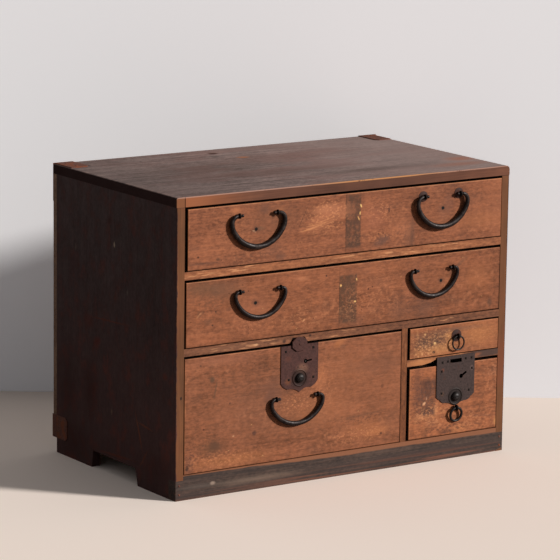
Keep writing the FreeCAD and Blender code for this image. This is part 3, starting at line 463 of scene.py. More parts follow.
MARKS["large"] = [
    (-293, 216, 5, 5, (84, 64, 48), 0.8, 0.6),
    (-286, 196, 1.6, 15, (92, 68, 50), 0.6, 0.6, 12),
    (-318, 244, 2, 1.8, (60, 38, 28), 0.85, 0.4),
    (-254.6, 167.6, 2.2, 2, (76, 44, 32), 0.85, 0.4),
    (-310.7, 125.7, 2.2, 1.8, (76, 40, 32), 0.85, 0.4),
    (-201.8, 106, 4.5, 4, (66, 40, 34), 0.85, 0.5, -20),
    (-287, 92, 11, 8, (72, 48, 36), 0.8, 0.6),
    (-292, 90, 24, 13, (108, 72, 50), 0.55, 0.8),
    (-246.6, 106, 2.2, 1.2, (214, 160, 118), 0.65, 0.5),
    (-169, 167, 9, 11, (74, 48, 40), 0.6, 0.7, 30),
    (-160, 178, 20, 22, (108, 70, 56), 0.55, 0.9),
    (-342, 62, 8, 16, (96, 60, 48), 0.6, 0.7),
    (-345.6, 58, 3.5, 5, (40, 24, 20), 0.85, 0.5),
    (-250, 62, 70, 10, (184, 116, 70), 0.35, 0.9),
    (-270, 250, 60, 8, (158, 100, 74), 0.5, 0.9),
    (-55, 187, 2.2, 9, (112, 70, 50), 0.75, 0.6, 25),
    (-60, 192, 14, 16, (188, 116, 76), 0.5, 0.9),
    (-15, 254, 11, 6, (190, 118, 70), 0.45, 0.8, -20),
    (-8, 245, 6, 4, (118, 76, 54), 0.6, 0.7),
    (82.9, 160, 3.2, 3.4, (82, 50, 36), 0.8, 0.5),
    (34, 110, 44, 2.4, (104, 68, 48), 0.65, 0.7, -4),
    (14, 107, 12, 4, (96, 62, 44), 0.6, 0.7),
    (79, 96, 5, 4, (92, 58, 42), 0.7, 0.6, -30),
    (72, 75, 20, 6, (200, 126, 76), 0.4, 0.8, -6),
    (50, 85, 40, 16, (176, 108, 68), 0.45, 0.9),
    (82.2, 70, 2.6, 2.2, (50, 28, 22), 0.9, 0.4),
    (-195, 150, 80, 45, (140, 90, 66), 0.35, 0.95),
    (-60, 130, 60, 30, (180, 112, 74), 0.35, 0.95),
    (-12, 198, 46, 30, (176, 108, 72), 0.3, 0.95),
    (70, 160, 90, 90, (172, 106, 72), 0.22, 0.95),
]
FRONTS["small"] = dict(
    pale=(170, 103, 67), deep=(116, 69, 45), seed=4.0, specks=0.4,
    edges={"top": (0.4, 2.0), "left": (0.45, 2.6), "right": (0.3, 1.4), "bottom": (0.3, 2.0)})
AREAS["small"] = [
    (190, 230, 48, 26, (220, 158, 106), 0.4),
    (196, 233, 34, 15, (64, 46, 38), 0.75),
    (240, 232, 14, 18, (228, 166, 108), 0.45),
    (172, 214, 20, 10, (228, 166, 114), 0.45),
    (310, 236, 40, 22, (198, 130, 84), 0.4),
]
MARKS["small"] = [
    (196, 232, 36, 15, (108, 78, 60), 0.7, 0.4, 0, True),
    (214, 216, 26, 9, (206, 142, 88), 0.45, 0.8),
    (236, 236, 9, 12, (206, 140, 88), 0.45, 0.8),
    (168, 214, 12, 8, (200, 134, 84), 0.4, 0.8),
    (203, 228, 2.8, 2.2, (238, 190, 126), 0.95, 0.4),
    (180, 247, 2, 1.8, (226, 176, 120), 0.8, 0.4),
    (200.8, 211, 3.2, 2.6, (40, 22, 16), 0.9, 0.4),
    (160, 225, 2.4, 1.8, (74, 48, 36), 0.7, 0.5),
    (166, 219, 2, 1.6, (66, 42, 32), 0.7, 0.5),
    (300, 236, 40, 18, (188, 122, 74), 0.45, 0.9),
    (250, 250, 60, 4, (120, 84, 66), 0.5, 0.8),
]
FRONTS["square"] = dict(
    pale=(180, 108, 70), deep=(116, 69, 45), seed=5.0, specks=0.4,
    edges={"top": (0.3, 2.0), "left": (0.5, 3.0), "right": (-0.2, 3), "bottom": (-0.5, 3.0)})
AREAS["square"] = [
    (196, 92, 44, 22, (216, 146, 98), 0.45),
    (166, 140, 20, 46, (84, 54, 44), 0.6),
    (190, 122, 18, 34, (112, 76, 62), 0.7),
    (230, 58, 80, 10, (80, 52, 42), 0.6),
    (290, 70, 60, 20, (208, 136, 92), 0.4),
    (340, 150, 22, 60, (206, 134, 94), 0.35),
]
MARKS["square"] = [
    (190, 124, 17, 35, (82, 54, 43), 0.8, 0.1, 0, True),
    (186, 146, 11, 14, (78, 52, 44), 0.5, 0.6),
    (192, 96, 15, 9, (80, 54, 46), 0.55, 0.4, 0, True),
    (180.7, 114.3, 4, 2.4, (226, 170, 128), 0.85, 0.5, -35),
    (186, 123.6, 1.1, 3, (196, 150, 122), 0.6, 0.5),
    (166, 130, 10, 40, (108, 68, 52), 0.7, 0.8),
    (180, 88, 22, 5, (200, 132, 88), 0.45, 0.7),
    (208, 98, 5, 10, (204, 136, 92), 0.45, 0.7),
    (200, 74, 14, 8, (112, 76, 58), 0.45, 0.8),
    (262, 56, 22, 6, (200, 128, 80), 0.4, 0.8),
    (186, 60, 6, 10, (104, 66, 46), 0.5, 0.7, 30),
    (232, 54, 16, 4, (70, 46, 38), 0.6, 0.7),
    (352, 60, 5, 7, (214, 148, 92), 0.6, 0.7),
    (335, 120, 24, 1.3, (110, 66, 46), 0.5, 0.6, -3),
    (330, 140, 28, 1.2, (110, 66, 46), 0.5, 0.6, -4),
    (320, 75, 30, 2.2, (100, 64, 50), 0.5, 0.7, 5),
    (345, 158, 18, 8, (118, 78, 58), 0.4, 0.8),
]

# Painted shadows of the bails on the top and middle drawers
BAIL_SHADOW_DRAWERS = ("top", "middle")
BAIL_SHADOW_SHIFT = 1.5
BAIL_SHADOW_TOP = 12.0
BAIL_SHADOW_DEPTH = 1e5
HOLE_HALF = (3.4, MARK_DEPTH, 3.2)
HALO_HALF = (8, MARK_DEPTH, 6)


def painted_bail_shadows(drawer):
    """The arcs of painted bail shadow on a drawer: middle x, the top's z, half width and drop."""
    shadow_arcs = []
    for side in ("left", "right") if drawer in BAIL_SHADOW_DRAWERS else ():
        low, high = box_mm(drawer + "_" + side + "_bail")
        bar = (high.y - low.y) / 2
        shadow_arcs.append(((low.x + high.x) / 2, high.z - BAIL_SHADOW_TOP, (high.x - low.x) / 2 - bar,
                     high.z - low.z - bar - BAIL_SHADOW_TOP))
    return shadow_arcs


def front_wood(drawer, pale, deep, seed, specks, edges, holes=()):
    """A drawer front's wood, grain along x, with its own wear and marks."""
    node = drawer + "_drawer_front"
    graph = Graph(node + "_wood")
    low, high = box_mm(node)
    wood_base(graph, pale, deep, "x", seed, banding=0.35)
    # Grain lines that swing along the board
    rings = graph.noise(grain_size("x", 420, 34), detail=1, distortion=0.6, seed=seed + 13)
    lines = graph.math("PINGPONG", graph.times(rings, 14), 0.5)
    graph.lay(graph.remap(lines, 0.12, 0.0, 0.0, 0.35), deep)
    # Ingrained dirt in broad patches
    dirt = graph.noise((120, 60, 60), detail=4, roughness=0.6, seed=seed + 17)
    graph.lay(graph.remap(dirt, 0.52, 0.75, 0.0, 0.45), (104, 68, 52))
    # Rubbed wood
    worn = graph.noise(9, seed=seed + 19)
    glow = graph.noise((90, 50, 50), seed=seed + 23)
    rubbed = graph.times(graph.remap(worn, 0.52, 0.7), graph.remap(glow, 0.48, 0.66))
    graph.lay(rubbed, (196, 124, 84), 0.35)
    front_marks(graph, MARKS[drawer])
    speckled(graph, AREAS[drawer], seed + 43)
    # Painted shadow of the hanging bails: dark arcs shifted left and down as the shadows fall, also standing
    # for rub marks
    for x, z, half_width, drop in painted_bail_shadows(drawer):
        centre = (x - BAIL_SHADOW_SHIFT, 0, z - BAIL_SHADOW_SHIFT)
        ring = graph.vector("LENGTH", graph.placed(centre, (half_width, BAIL_SHADOW_DEPTH, drop)))
        stroke = graph.times(graph.away(ring, 1.0), drop)
        rub = graph.times(graph.remap(stroke, 5.5, 2, 0.0, 0.3), graph.remap(graph.z, z + 8, z - 10))
        graph.lay(rub, (58, 33, 24))
    # Old nail holes in a dark halo
    for x, z in holes:
        halo = graph.spot((x, 0, z), HALO_HALF, soft=0.6, warp=graph.jittered(*COARSE_RAG))
        graph.lay(halo, (92, 58, 44), 0.45)
        graph.lay(graph.spot((x, 0, z), HOLE_HALF, soft=0.25, warp=graph.jittered(*FINE_RAG)), (6, 3, 2))
    edge_lines(graph, low, high, edges, graph.noise(22, seed=seed + 29))
    dark = graph.dots(12, 1.3, specks, seed + 31, 1.3)
    graph.lay(dark, DARK_SPECK, 0.6)
    graph.lay(graph.dots(17, 1.3, 0.4, seed + 37, 1.4), FLECK, 0.45)
    hidden_wood(graph, seed, high.y)
    height = graph.plus(graph.height, graph.times(dark, -2))
    return graph.finish(graph.rough(worn, 0.45, 0.62), height, 0.22, 0.2)


def rail_wood(node, pale, deep, seed, marks=(), grain="x"):
    """A rail or the partition at the front: worn wood with pale rubbed streaks."""
    graph = Graph(node + "_wood")
    low, high = box_mm(node)
    wood_base(graph, pale, deep, grain, seed, streak=0.9, fibre=1.0, cloud=0.8)
    rub = graph.noise(grain_size(grain, 26, 3.5), seed=seed + 5)
    area = graph.noise(110, detail=2, seed=seed + 9)
    rubbed = graph.times(graph.remap(rub, 0.54, 0.7), graph.remap(area, 0.42, 0.6))
    graph.lay(rubbed, (226, 160, 112), 0.6)
    front_marks(graph, marks)
    if grain == "x":
        edges = {"top": (-0.35, 1.6), "bottom": (-0.35, 1.6)}
    else:
        edges = {"left": (-0.3, 1.6), "right": (-0.3, 1.6)}
    edge_lines(graph, low, high, edges, graph.noise(18, seed=seed + 2))
    graph.lay(graph.dots(13, 1.3, 0.35, seed + 31), DARK_SPECK, 0.65)
    hidden_wood(graph, seed, high.y)
    return graph.finish(graph.rough(rub, 0.5, 0.66), graph.height, 0.22, 0.2)


# Rows of Mark on the left side panel, as y and z
SIDE_MARKS = [
    (214, 435, 2, 5, (150, 130, 110), 0.8, 0.5),
    (354, 409, 1.6, 6, (84, 66, 56), 0.7, 0.6),
    (167, 354, 2.2, 5, (80, 64, 58), 0.7, 0.6),
    (292, 480, 8, 7, (66, 30, 24), 0.6, 0.8),
    (232, 478, 7, 6, (58, 28, 24), 0.6, 0.8),
    (359, 375, 14, 14, (60, 27, 23), 0.6, 0.9),
    (276, 244, 11, 7, (84, 36, 28), 0.7, 0.8, -20),
    (305, 277, 16, 12, (78, 35, 27), 0.7, 0.9),
    (300, 148, 22, 44, (62, 28, 23), 0.6, 0.9),
    (36, 223, 7, 6, (92, 42, 30), 0.7, 0.8),
    (230, 290, 60, 1.6, (92, 42, 28), 0.6, 0.7, -3),
    (125, 102, 1.6, 32, (116, 60, 36), 0.75, 0.6, -20),
    (104, 117, 24, 1.4, (110, 56, 34), 0.7, 0.6, 8),
    (205, 41, 52, 1.8, (104, 52, 36), 0.7, 0.7, -3),
    (108, 56, 1.8, 18, (112, 58, 38), 0.7, 0.6, 38),
    (222, 120, 2.5, 5, (104, 80, 66), 0.7, 0.6),
    (380, 140, 26, 60, (58, 30, 26), 0.5, 0.9),
    (60, 50, 50, 26, (66, 36, 32), 0.5, 0.9),
    (370, 40, 50, 30, (66, 36, 30), 0.6, 0.9),
]
BOARD_FOOT_Z = box_mm("top_board")[0].z
FRONT_EDGE_CHIP = (-358.7, 189, 1.8, 3, (30, 20, 16), 0.9, 0.4)


def side_wood(name, outer_sign, seed):
    """A side panel: near-black brown outside, ochre front edge with a wandering dark stain at its arris."""
    graph = Graph(name)
    # Front edge
    graph.colour = edge_wood(graph, grain_size("z", 60, 2), (50, 50, 90), 1.3, seed + 41,
                             (84, 54, 33), (132, 82, 51))
    red = graph.noise((60, 60, 120), detail=2, seed=seed + 47)
    graph.lay(graph.remap(red, 0.46, 0.6, 0.0, 0.6), (128, 70, 46))
    front_marks(graph, [FRONT_EDGE_CHIP])
    edge = graph.colour
    # Outer face
    wood_base(graph, (74, 51, 49), (49, 31, 30), "z", seed, streak=0.7, fibre=0.6, cloud=0.8)
    scuff = graph.noise((26, 26, 40), detail=4, roughness=0.6, seed=seed + 4)
    low_part = graph.remap(graph.z, 380, 40)
    scuffed = graph.times(graph.remap(scuff, 0.5, 0.72), graph.math("MULTIPLY_ADD", low_part, 0.5, 0.4))
    graph.lay(scuffed, (100, 48, 37))
    # Lighter towards the bottom: painted light, for the light the floor bounces up
    graph.lay(low_part, (100, 64, 60), 0.3)
    graph.lay(graph.dots(30, 1.5, 0.35, seed + 6), (150, 122, 104), 0.4)
    if outer_sign < 0:
        warp = graph.jittered(9, 4, seed=2.5)
        lay_marks(graph, SIDE_MARKS, X_AXIS, -CASE_HALF, warp, warp, strengthening=1.3)
    wander = graph.centred(graph.noise(20, detail=4, roughness=0.65, seed=seed + 53), 7)
    inward = graph.math("MULTIPLY_ADD", graph.x, -outer_sign, CASE_HALF)
    stained = graph.remap(graph.plus(inward, wander), 1.2, 2.6)
    front = graph.remap(graph.y, 2.2, 0.4)
    graph.lay(graph.times(front, stained), edge)
    # Seam under the top board
    seam = graph.times(graph.remap(graph.away(graph.z, BOARD_FOOT_Z), 1.5, 0.4), front)
    graph.lay(seam, (38, 22, 16), 0.45 if outer_sign < 0 else 0.85)
    # Inner face: painted shade near the front, bare wood further back
    inside = graph.times(graph.remap(inward, 16.2, 16.8), graph.remap(graph.y, 0.5, 3))
    graph.lay(inside, graph.mix(graph.remap(graph.y, 8, 40), GAP_SHADE, bare_wood(graph, seed, "z")))
    return graph.finish(graph.rough(scuff, 0.55, 0.72), graph.height, 0.22, 0.18)


# Rows of Mark on the top board, as x and y
TOP_BOARD_MARKS = [
    (367.5, 330, 3.5, 75, (44, 30, 26), 0.75, 0.5),
    (368.5, 205, 2.2, 60, (52, 36, 30), 0.7, 0.5),
    (-17, 328, 11, 8, (190, 120, 76), 0.75, 0.7),
    (-43, 394, 9, 9, (70, 36, 28), 0.85, 0.5),
    (-326, 385, 7, 5, (50, 32, 28), 0.8, 0.5),
    (337, 112, 26, 18, (176, 108, 80), 0.6, 0.9),
    (300, 60, 52, 16, (164, 104, 80), 0.5, 0.9),
    (-150, 240, 120, 60, (92, 74, 68), 0.4, 0.95),
    (120, 90, 110, 20, (88, 72, 66), 0.45, 0.95),
    (-40, 150, 110, 26, (90, 72, 66), 0.4, 0.95),
    (60, 300, 120, 40, (128, 88, 78), 0.4, 0.95),
]
BLOCK_JOINT_X = box_mm("top_corner_block")[1].x


def top_wood(name, seed, block=False):
    """The top board: dark grey-brown above, its grey partly a painted sheen; reddish front edge; pale worn
    arrises, the left one partly a painted highlight.
    """
    graph = Graph(name)
    # Front edge
    graph.colour = edge_wood(graph, grain_size("x", 80, 2), 60, 1.2, seed + 21,
                             (84, 56, 47), (134, 88, 68))
    graph.lay(graph.remap(graph.x, -180, -360, 0.0, 0.7), (168, 102, 66))
    graph.lay(graph.spot((60, 0, TOP_Z), (190, 14, 30), soft=0.5), (84, 58, 48), 0.5)
    if block:
        graph.lay(0.6, (116, 78, 54))
    graph.lay(graph.remap(graph.away(graph.x, BLOCK_JOINT_X), 1.3, 0.5, 0.0, 0.85), (40, 24, 18))
    edge = graph.colour
    # Upper face: its grey is partly a painted sheen; lighter towards the right, darker towards the left
    wood_base(graph, (162, 138, 132), (87, 74, 71), "x", seed, streak=1.5, fibre=1.7, cloud=0.8)
    redness = graph.noise((160, 60, 60), roughness=0.6, seed=seed + 4)
    middle = graph.spot((30, 240, TOP_Z), (260, 200, 30), soft=0.8)
    reddish = graph.times(graph.remap(redness, 0.44, 0.62), graph.math("MULTIPLY_ADD", middle, 0.4, 0.25))
    graph.lay(reddish, (132, 97, 90))
    graph.lay(graph.remap(graph.x, -200, 340, 0.0, 0.55), (167, 144, 138))
    graph.lay(graph.remap(graph.x, -60, -340, 0.0, 0.4), (96, 84, 81))
    warp = graph.jittered(9, 5, seed=4.5)
    lay_marks(graph, TOP_BOARD_MARKS, Z_AXIS, TOP_Z, warp, warp)
    graph.lay(graph.remap(graph.y, 1.2, 0.3), edge)
    # Worn front arris
    wander = graph.noise(14, detail=4, roughness=0.65, seed=seed + 31)
    wear = graph.noise(120, detail=2, seed=seed + 33)
    reach = graph.plus(graph.math("ABSOLUTE", graph.y), graph.away(graph.z, TOP_Z))
    bright = graph.spot((70, 0, TOP_Z), (130, 14, 30), soft=0.6)
    width = graph.plus(graph.remap(wear, 0.4, 0.6, 1.1, 1.7), graph.times(bright, 0.4))
    line = graph.remap(graph.math("DIVIDE", reach, width), 1.4, 0.5)
    line = graph.times(line, graph.remap(wander, 0.3, 0.42))
    graph.lay(line, graph.mix(bright, (184, 142, 126), (212, 150, 100)), 0.85)
    # Left arris: a pale line, partly wear and partly a painted highlight
    side_reach = graph.plus(graph.x, CASE_HALF, graph.minus(TOP_Z, graph.z))
    side_line = graph.times(graph.remap(side_reach, 5, 2.5), graph.remap(wander, 0.4, 0.6))
    graph.lay(side_line, (150, 122, 112), 0.55)
    # Dark ends of the board, as dark as the side panels below them
    end = graph.remap(graph.minus(CASE_HALF, graph.math("ABSOLUTE", graph.x)), 1.6, 0.2)
    graph.lay(graph.times(end, graph.remap(graph.y, 0.6, 1.6)), (50, 31, 29))
    return graph.finish(graph.rough(redness, 0.86, 0.94), graph.height, 0.3, 0.12)


PLINTH_MARKS = [
    (-290, 24, 5, 3, (184, 158, 140), 0.7, 0.6),
    (-320, 22, 40, 4, (92, 78, 70), 0.5, 0.8),
    (-200, 20, 70, 5, (150, 124, 106), 0.35, 0.9),
]


def plinth_wood(seed):
    """The foot rail: dark grey-brown with long grain, a lighter strip above the lap."""
    graph = Graph("plinth_wood")
    wood_base(graph, (84, 63, 53), (40, 28, 24), "x", seed, streak=1.5, fibre=1.1, cloud=0.7)
    bands = graph.noise(grain_size("x", 500, 7), detail=2, distortion=0.3, seed=seed + 3)
    graph.lay(graph.remap(bands, 0.5, 0.66, 0.0, 0.6), (62, 46, 42))
    grain_lines = graph.noise(grain_size("x", 260, 2.6), detail=2, roughness=0.6, seed=seed + 21)
    graph.lay(graph.remap(grain_lines, 0.5, 0.62, 0.0, 0.55), (34, 24, 21))
    red = graph.noise(grain_size("x", 300, 5), detail=2, seed=seed + 5)
    low_part = graph.remap(graph.z, 24, 6)
    right_part = graph.remap(graph.x, -260, 40, 0.3, 1.0)
    reddish = graph.times(graph.times(graph.remap(red, 0.48, 0.62), low_part), right_part)
    graph.lay(reddish, (124, 74, 53), 0.8)
    wave = graph.centred(graph.noise(60, seed=seed + 9), 5)
    level = graph.plus(graph.plus(graph.z, wave), graph.remap(graph.x, -360, 60, -7.5, 0.0))
    graph.lay(graph.remap(level, 36, 39), (146, 90, 58), 0.85)
    ripple = graph.centred(graph.noise(20, seed=seed + 15), 6)
    graph.lay(graph.remap(graph.plus(graph.z, ripple), 2.5, 0.5), (120, 84, 66), 0.4)
    front_marks(graph, PLINTH_MARKS)
    graph.lay(graph.dots(18, 1.3, 0.25, seed + 31), DARK_SPECK, 0.5)
    return graph.finish(graph.rough(bands, 0.55, 0.7), graph.height, 0.3, 0.35)


def inner_wood(name, seed, pale=(168, 128, 92), deep=(112, 80, 56)):
    """Bare wood inside the chest, of the drawer boxes and of the back."""
    graph = Graph(name)
    wood_base(graph, pale, deep, "x", seed)
    stain = graph.noise(90, detail=4, seed=seed + 9)
    graph.lay(graph.remap(stain, 0.5, 0.7, 0.0, 0.6), (92, 66, 50))
    graph.lay(graph.dots(22, 1.5, 0.3, seed + 3), DARK_SPECK, 0.6)
    return graph.finish(graph.rough(stain, 0.62, 0.78), graph.height, 0.25, 0.3)


IRON_RAG = 1.5


def iron(name, base, rust, rust_from, seed, roughness, metallic, shine=0.5, spread=1.7, pits=0.35,
         specks=0.0, painted_shade_behind=None, marks=()):
    """Forged iron: dark skin, rust patches and pits; a plate's edges and back can get painted shade."""
    graph = Graph(name)
    skin = graph.noise(4, detail=4, roughness=0.6, seed=seed)
    broad = graph.noise(17, seed=seed + 3)
    light = tuple(min(1.0, channel * spread) for channel in as_light(base)[:3]) + (1.0,)
    graph.colour = graph.mix(graph.remap(skin, 0.3, 0.7), base, light)
    patches = graph.remap(broad, rust_from, rust_from + 0.14)
    graph.lay(patches, rust, 0.7)
    front_marks(graph, marks, IRON_RAG)
    pit = graph.dots(5, 0.7, pits, seed + 5)
    graph.lay(pit, (24, 16, 14), 0.5)
    if specks:
        graph.lay(graph.dots(8, 2.6, specks, seed + 8), (30, 21, 20), 0.6)
    # Painted shade on the rear of a plate's edges and on its back
    if painted_shade_behind is not None:
        graph.lay(graph.remap(graph.y, painted_shade_behind, painted_shade_behind + 0.2), (9, 6, 5))
    height = graph.plus(graph.times(skin, 0.8), graph.math("MULTIPLY_ADD", pit, -0.8, broad))
    rough = graph.rough(skin, roughness - 0.08, roughness + 0.1)
    rough = graph.plus(graph.times(patches, 0.2), rough)
    dull = graph.math("MULTIPLY_ADD", patches, -metallic * 0.7, metallic)
    return graph.finish(rough, height, 0.25, shine, dull)


black_iron = iron("black_iron", (27, 21, 19), (44, 29, 23), 0.6, 1.0, 0.5, 0.4)
bail_iron = iron("bail_iron", (26, 16, 14), (44, 28, 22), 0.5, 1.0, 0.44, 0.35, shine=0.35)
# Near-black iron for the lock cases and leaf springs: painted shade, so that slots and keyholes look dark
painted_shade_iron = iron("painted_shade_iron", (14, 11, 10), (20, 13, 10), 0.6, 2, 0.7, 0.0)
# A darker, duller copy of the black iron for eye pins and lock nails: painted shade
shaded_eye_iron = iron("shaded_eye_iron", (20, 12, 9), (34, 20, 14), 0.6, 1.0, 0.6, 0.0, shine=0.15)
rusty_iron = iron("rusty_iron", (98, 64, 54), (138, 78, 52), 0.5, 7, 0.8, 0.1, shine=0.15)
rosette_iron = iron("rosette_iron", (50, 29, 24), (84, 48, 38), 0.52, 9, 0.6, 0.1, shine=0.25)
PLATE_IRON = dict(roughness=0.58, metallic=0.1, shine=0.25, spread=1.6, pits=0.75, specks=0.6,
                  painted_shade_behind=-1.95)
large_plate_iron = iron("large_plate_iron", (66, 39, 34), (86, 50, 38), 0.6, 3, **PLATE_IRON, marks=[
    (-99, 214, 10, 8, (150, 106, 84), 0.65, 0.8),
    (-130, 193, 6, 5, (124, 72, 42), 0.6, 0.8),
    (-74, 200, 4, 8, (92, 56, 44), 0.6, 0.8),
    (-130, 236, 6, 5, (104, 58, 44), 0.5, 0.8),
    # A dark disc about the button: painted shade
    (-104.6, 197.5, 18, 18, (38, 24, 20), 0.8, 0.35),
])
square_plate_iron = iron("square_plate_iron", (57, 43, 40), (72, 48, 39), 0.64, 5, **PLATE_IRON, marks=[
    # A dark disc about the button: painted shade of its rim
    (252.4, 120.5, 18, 18, (30, 23, 20), 0.75, 0.3),
    (222, 174, 3.5, 3.5, (112, 62, 44), 0.7, 0.6),
    (222, 128, 4, 4, (98, 70, 52), 0.6, 0.7),
    # A light grey spot at a nail head: painted highlight
    (290, 172, 3.2, 4.5, (120, 96, 92), 0.6, 0.6),
])

LOWER_RAIL_MARKS = [
    (-200, 270, 5, 1.6, (236, 178, 130), 0.9, 0.5),
    (-81, 274, 3, 2.5, (60, 36, 28), 0.85, 0.5),
    (-138, 269, 3.5, 3, (56, 34, 28), 0.85, 0.5),
    (-250, 271, 90, 4, (122, 84, 64), 0.4, 0.9),
]
SMALL_RAIL_MARKS = [
    (176, 194, 30, 6, (202, 134, 84), 0.6, 0.7),
    (326, 197, 50, 8, (68, 53, 49), 0.9, 0.35),
    (302, 195, 10, 3, (150, 88, 56), 0.7, 0.7, -10),
]

# Every node gets its material, by name or by kind
MATERIALS = {drawer + "_drawer_front": front_wood(drawer, **look) for drawer, look in FRONTS.items()}
MATERIALS.update({
    "left_side": side_wood("left_side_wood", -1, 11),
    "right_side": side_wood("right_side_wood", 1, 12),
    "top_board": top_wood("top_wood", 13),
    "top_corner_block": top_wood("corner_block_wood", 14, block=True),
    "base_rail": plinth_wood(15),
    "upper_rail": rail_wood("upper_rail", (180, 113, 74), (118, 69, 44), 16),
    "lower_rail": rail_wood("lower_rail", (142, 90, 62), (86, 52, 36), 17, LOWER_RAIL_MARKS),
    "small_rail": rail_wood("small_rail", (176, 110, 70), (114, 69, 45), 18, SMALL_RAIL_MARKS),
    "partition": rail_wood("partition", (142, 84, 49), (88, 50, 30), 19, grain="z"),
    "back_boards": inner_wood("back_wood", 20, (150, 116, 92), (96, 70, 55)),
    "corner_straps": rusty_iron,
    "case_nails": rusty_iron,
    "large_lock_plate": large_plate_iron,
    "square_lock_plate": square_plate_iron,
    "large_lock_tab": large_plate_iron,
    "large_lock_case": painted_shade_iron,
    "square_lock_case": painted_shade_iron,
})
bare_inner_wood = inner_wood("inner_wood", 9)

for node_name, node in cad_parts.items():
    if node_name in MATERIALS:
        finish = MATERIALS[node_name]
    elif node_name.endswith(("_box", "_bottom", "board", "boards")):
        finish = bare_inner_wood
    elif "rosette" in node_name:
        finish = rosette_iron
    elif "eye_pin" in node_name or node_name.endswith("_lock_nails"):
        finish = shaded_eye_iron
    else:
        finish = black_iron
    if not node.material_slots:
        node.data.materials.append(finish)
    for slot in node.material_slots:
        slot.material = finish


def linked(name, data):
    """An object with the given data, in the scene."""
    made = bpy.data.objects.new(name, data)
    scene.collection.objects.link(made)
    return made


def lofted(name, rings, material, closed=False, smooth=True):
    """A piece whose skin joins rings of corners in millimetres, the last to the first if it is closed."""
    mesh = bmesh.new()
    rings = [[mesh.verts.new(place(*corner)) for corner in ring] for ring in rings]
    pairs = list(zip(rings, rings[1:]))
    if closed:
        pairs.append((rings[-1], rings[0]))
    else:
        mesh.faces.new(rings[0][::-1])
        mesh.faces.new(rings[-1])
    for one, two in pairs:
        for index in range(len(one)):
            after = (index + 1) % len(one)
            mesh.faces.new((one[index], one[after], two[after], two[index]))
    bmesh.ops.recalc_face_normals(mesh, faces=mesh.faces)
    data = bpy.data.meshes.new(name)
    mesh.to_mesh(data)
    mesh.free()
    for face in data.polygons:
        face.use_smooth = smooth
    data.materials.append(material)
    return linked(name, data)


def shown_as(piece, node, body):
    """The piece is shown instead of a CAD node and rides a body."""
    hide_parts(node)
    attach(piece, body)


# Forged bars. A dent has a pitch, in waves to a millimetre, and a depth as a share of the radius.
BAR_FLATNESS = 0.92
BAR_DENTS = ((0.16, 0.06), (0.45, 0.04))


def bar(name, sections, sides, material, closed=False):
    """A smooth bar through round sections, each (centre, along, radius), in millimetres."""
    rings = []
    across = Vector((0, 1, 0))
    for centre, along, radius in sections:
        other = along.cross(across)
        ring = []
        for index in range(sides):
            angle = 2 * math.pi * index / sides
            outward = across * (radius * BAR_FLATNESS * math.cos(angle)) + other * (radius * math.sin(angle))
            point = centre + outward
            dent = sum(noise.noise(point * pitch) * depth for pitch, depth in BAR_DENTS)
            ring.append(centre + (point - centre) * (1 + dent))
        rings.append(ring)
    return lofted(name, rings, material, closed)


# Bails. The knob at each end is a list of steps along it, each with its radius.
BAIL_END_RADIUS = 2.0
BAIL_KNOB = ((-2.9, 1.0), (-2.6, 2), (-1.8, 2.7), (-0.5, 2.9), (0.8, 2.75), (1.9, 2.3), (2.7, 2.03))
BAIL_KNOB_RADIUS = 2.9
CAD_KNOB_SIDES = 8
BAIL_STUB_OUTSIDE = 2.8
BAIL_STUB_LENGTH = 6.0
BAIL_SWELL_POWER = 0.3
BAIL_SIDES = 20
CURL_STEPS = 14
SHOULDER_STEPS = 16
MIDDLE_STEPS = 40


def bail_sections(x, y, z, spacing, half_width, drop, shoulder, middle_radius):
    """The bail's line of tangent arcs from one eye to the other, with a knob at each end."""
    stub_end = spacing / 2 + BAIL_STUB_OUTSIDE
    stub_tip = spacing / 2 - BAIL_STUB_LENGTH
    curl = half_width - stub_end
    depth = drop - curl
    wide = ((half_width - shoulder) ** 2 + depth ** 2 - shoulder ** 2) / (2 * (depth - shoulder))
    turn = math.degrees(math.atan2(depth - wide, half_width - shoulder))
    # Each arc: its centre, its radius, its first and last angle and its steps
    arcs = (
        (stub_end, -curl, curl, 90, 0, CURL_STEPS),
        (half_width - shoulder, -curl, shoulder, 0, turn, SHOULDER_STEPS),
        (0, wide - drop, wide, turn, -180 - turn, MIDDLE_STEPS),
        (shoulder - half_width, -curl, shoulder, -180 - turn, -180, SHOULDER_STEPS),
        (-stub_end, -curl, curl, -180, -270, CURL_STEPS),
    )
    x_axis = Vector((1, 0, 0))
    start = Vector((x + stub_tip, y, z))
    sections = [(start + x_axis * along, x_axis, radius) for along, radius in BAIL_KNOB]
    total = sum(radius * abs(last - first) for _, _, radius, first, last, _ in arcs)
    travelled = 0
    for arc_x, arc_z, radius, first, last, steps in arcs:
        for index in range(1 if travelled else 0, steps + 1):
            angle = first + (last - first) * index / steps
            share = (travelled + radius * abs(angle - first)) / total
            swell = abs(math.sin(math.pi * share)) ** BAIL_SWELL_POWER
            thickness = BAIL_END_RADIUS + (middle_radius - BAIL_END_RADIUS) * swell
            turned = math.radians(angle)
            out, rise = radius * math.cos(turned), radius * math.sin(turned)
            centre = Vector((x + arc_x + out, y, z + arc_z + rise))
            sections.append((centre, Vector((math.sin(turned), 0, -math.cos(turned))), thickness))
        travelled += radius * abs(last - first)
    end = Vector((x - stub_tip, y, z))
    sections += [(end - x_axis * along, x_axis, radius) for along, radius in reversed(BAIL_KNOB)]
    return sections


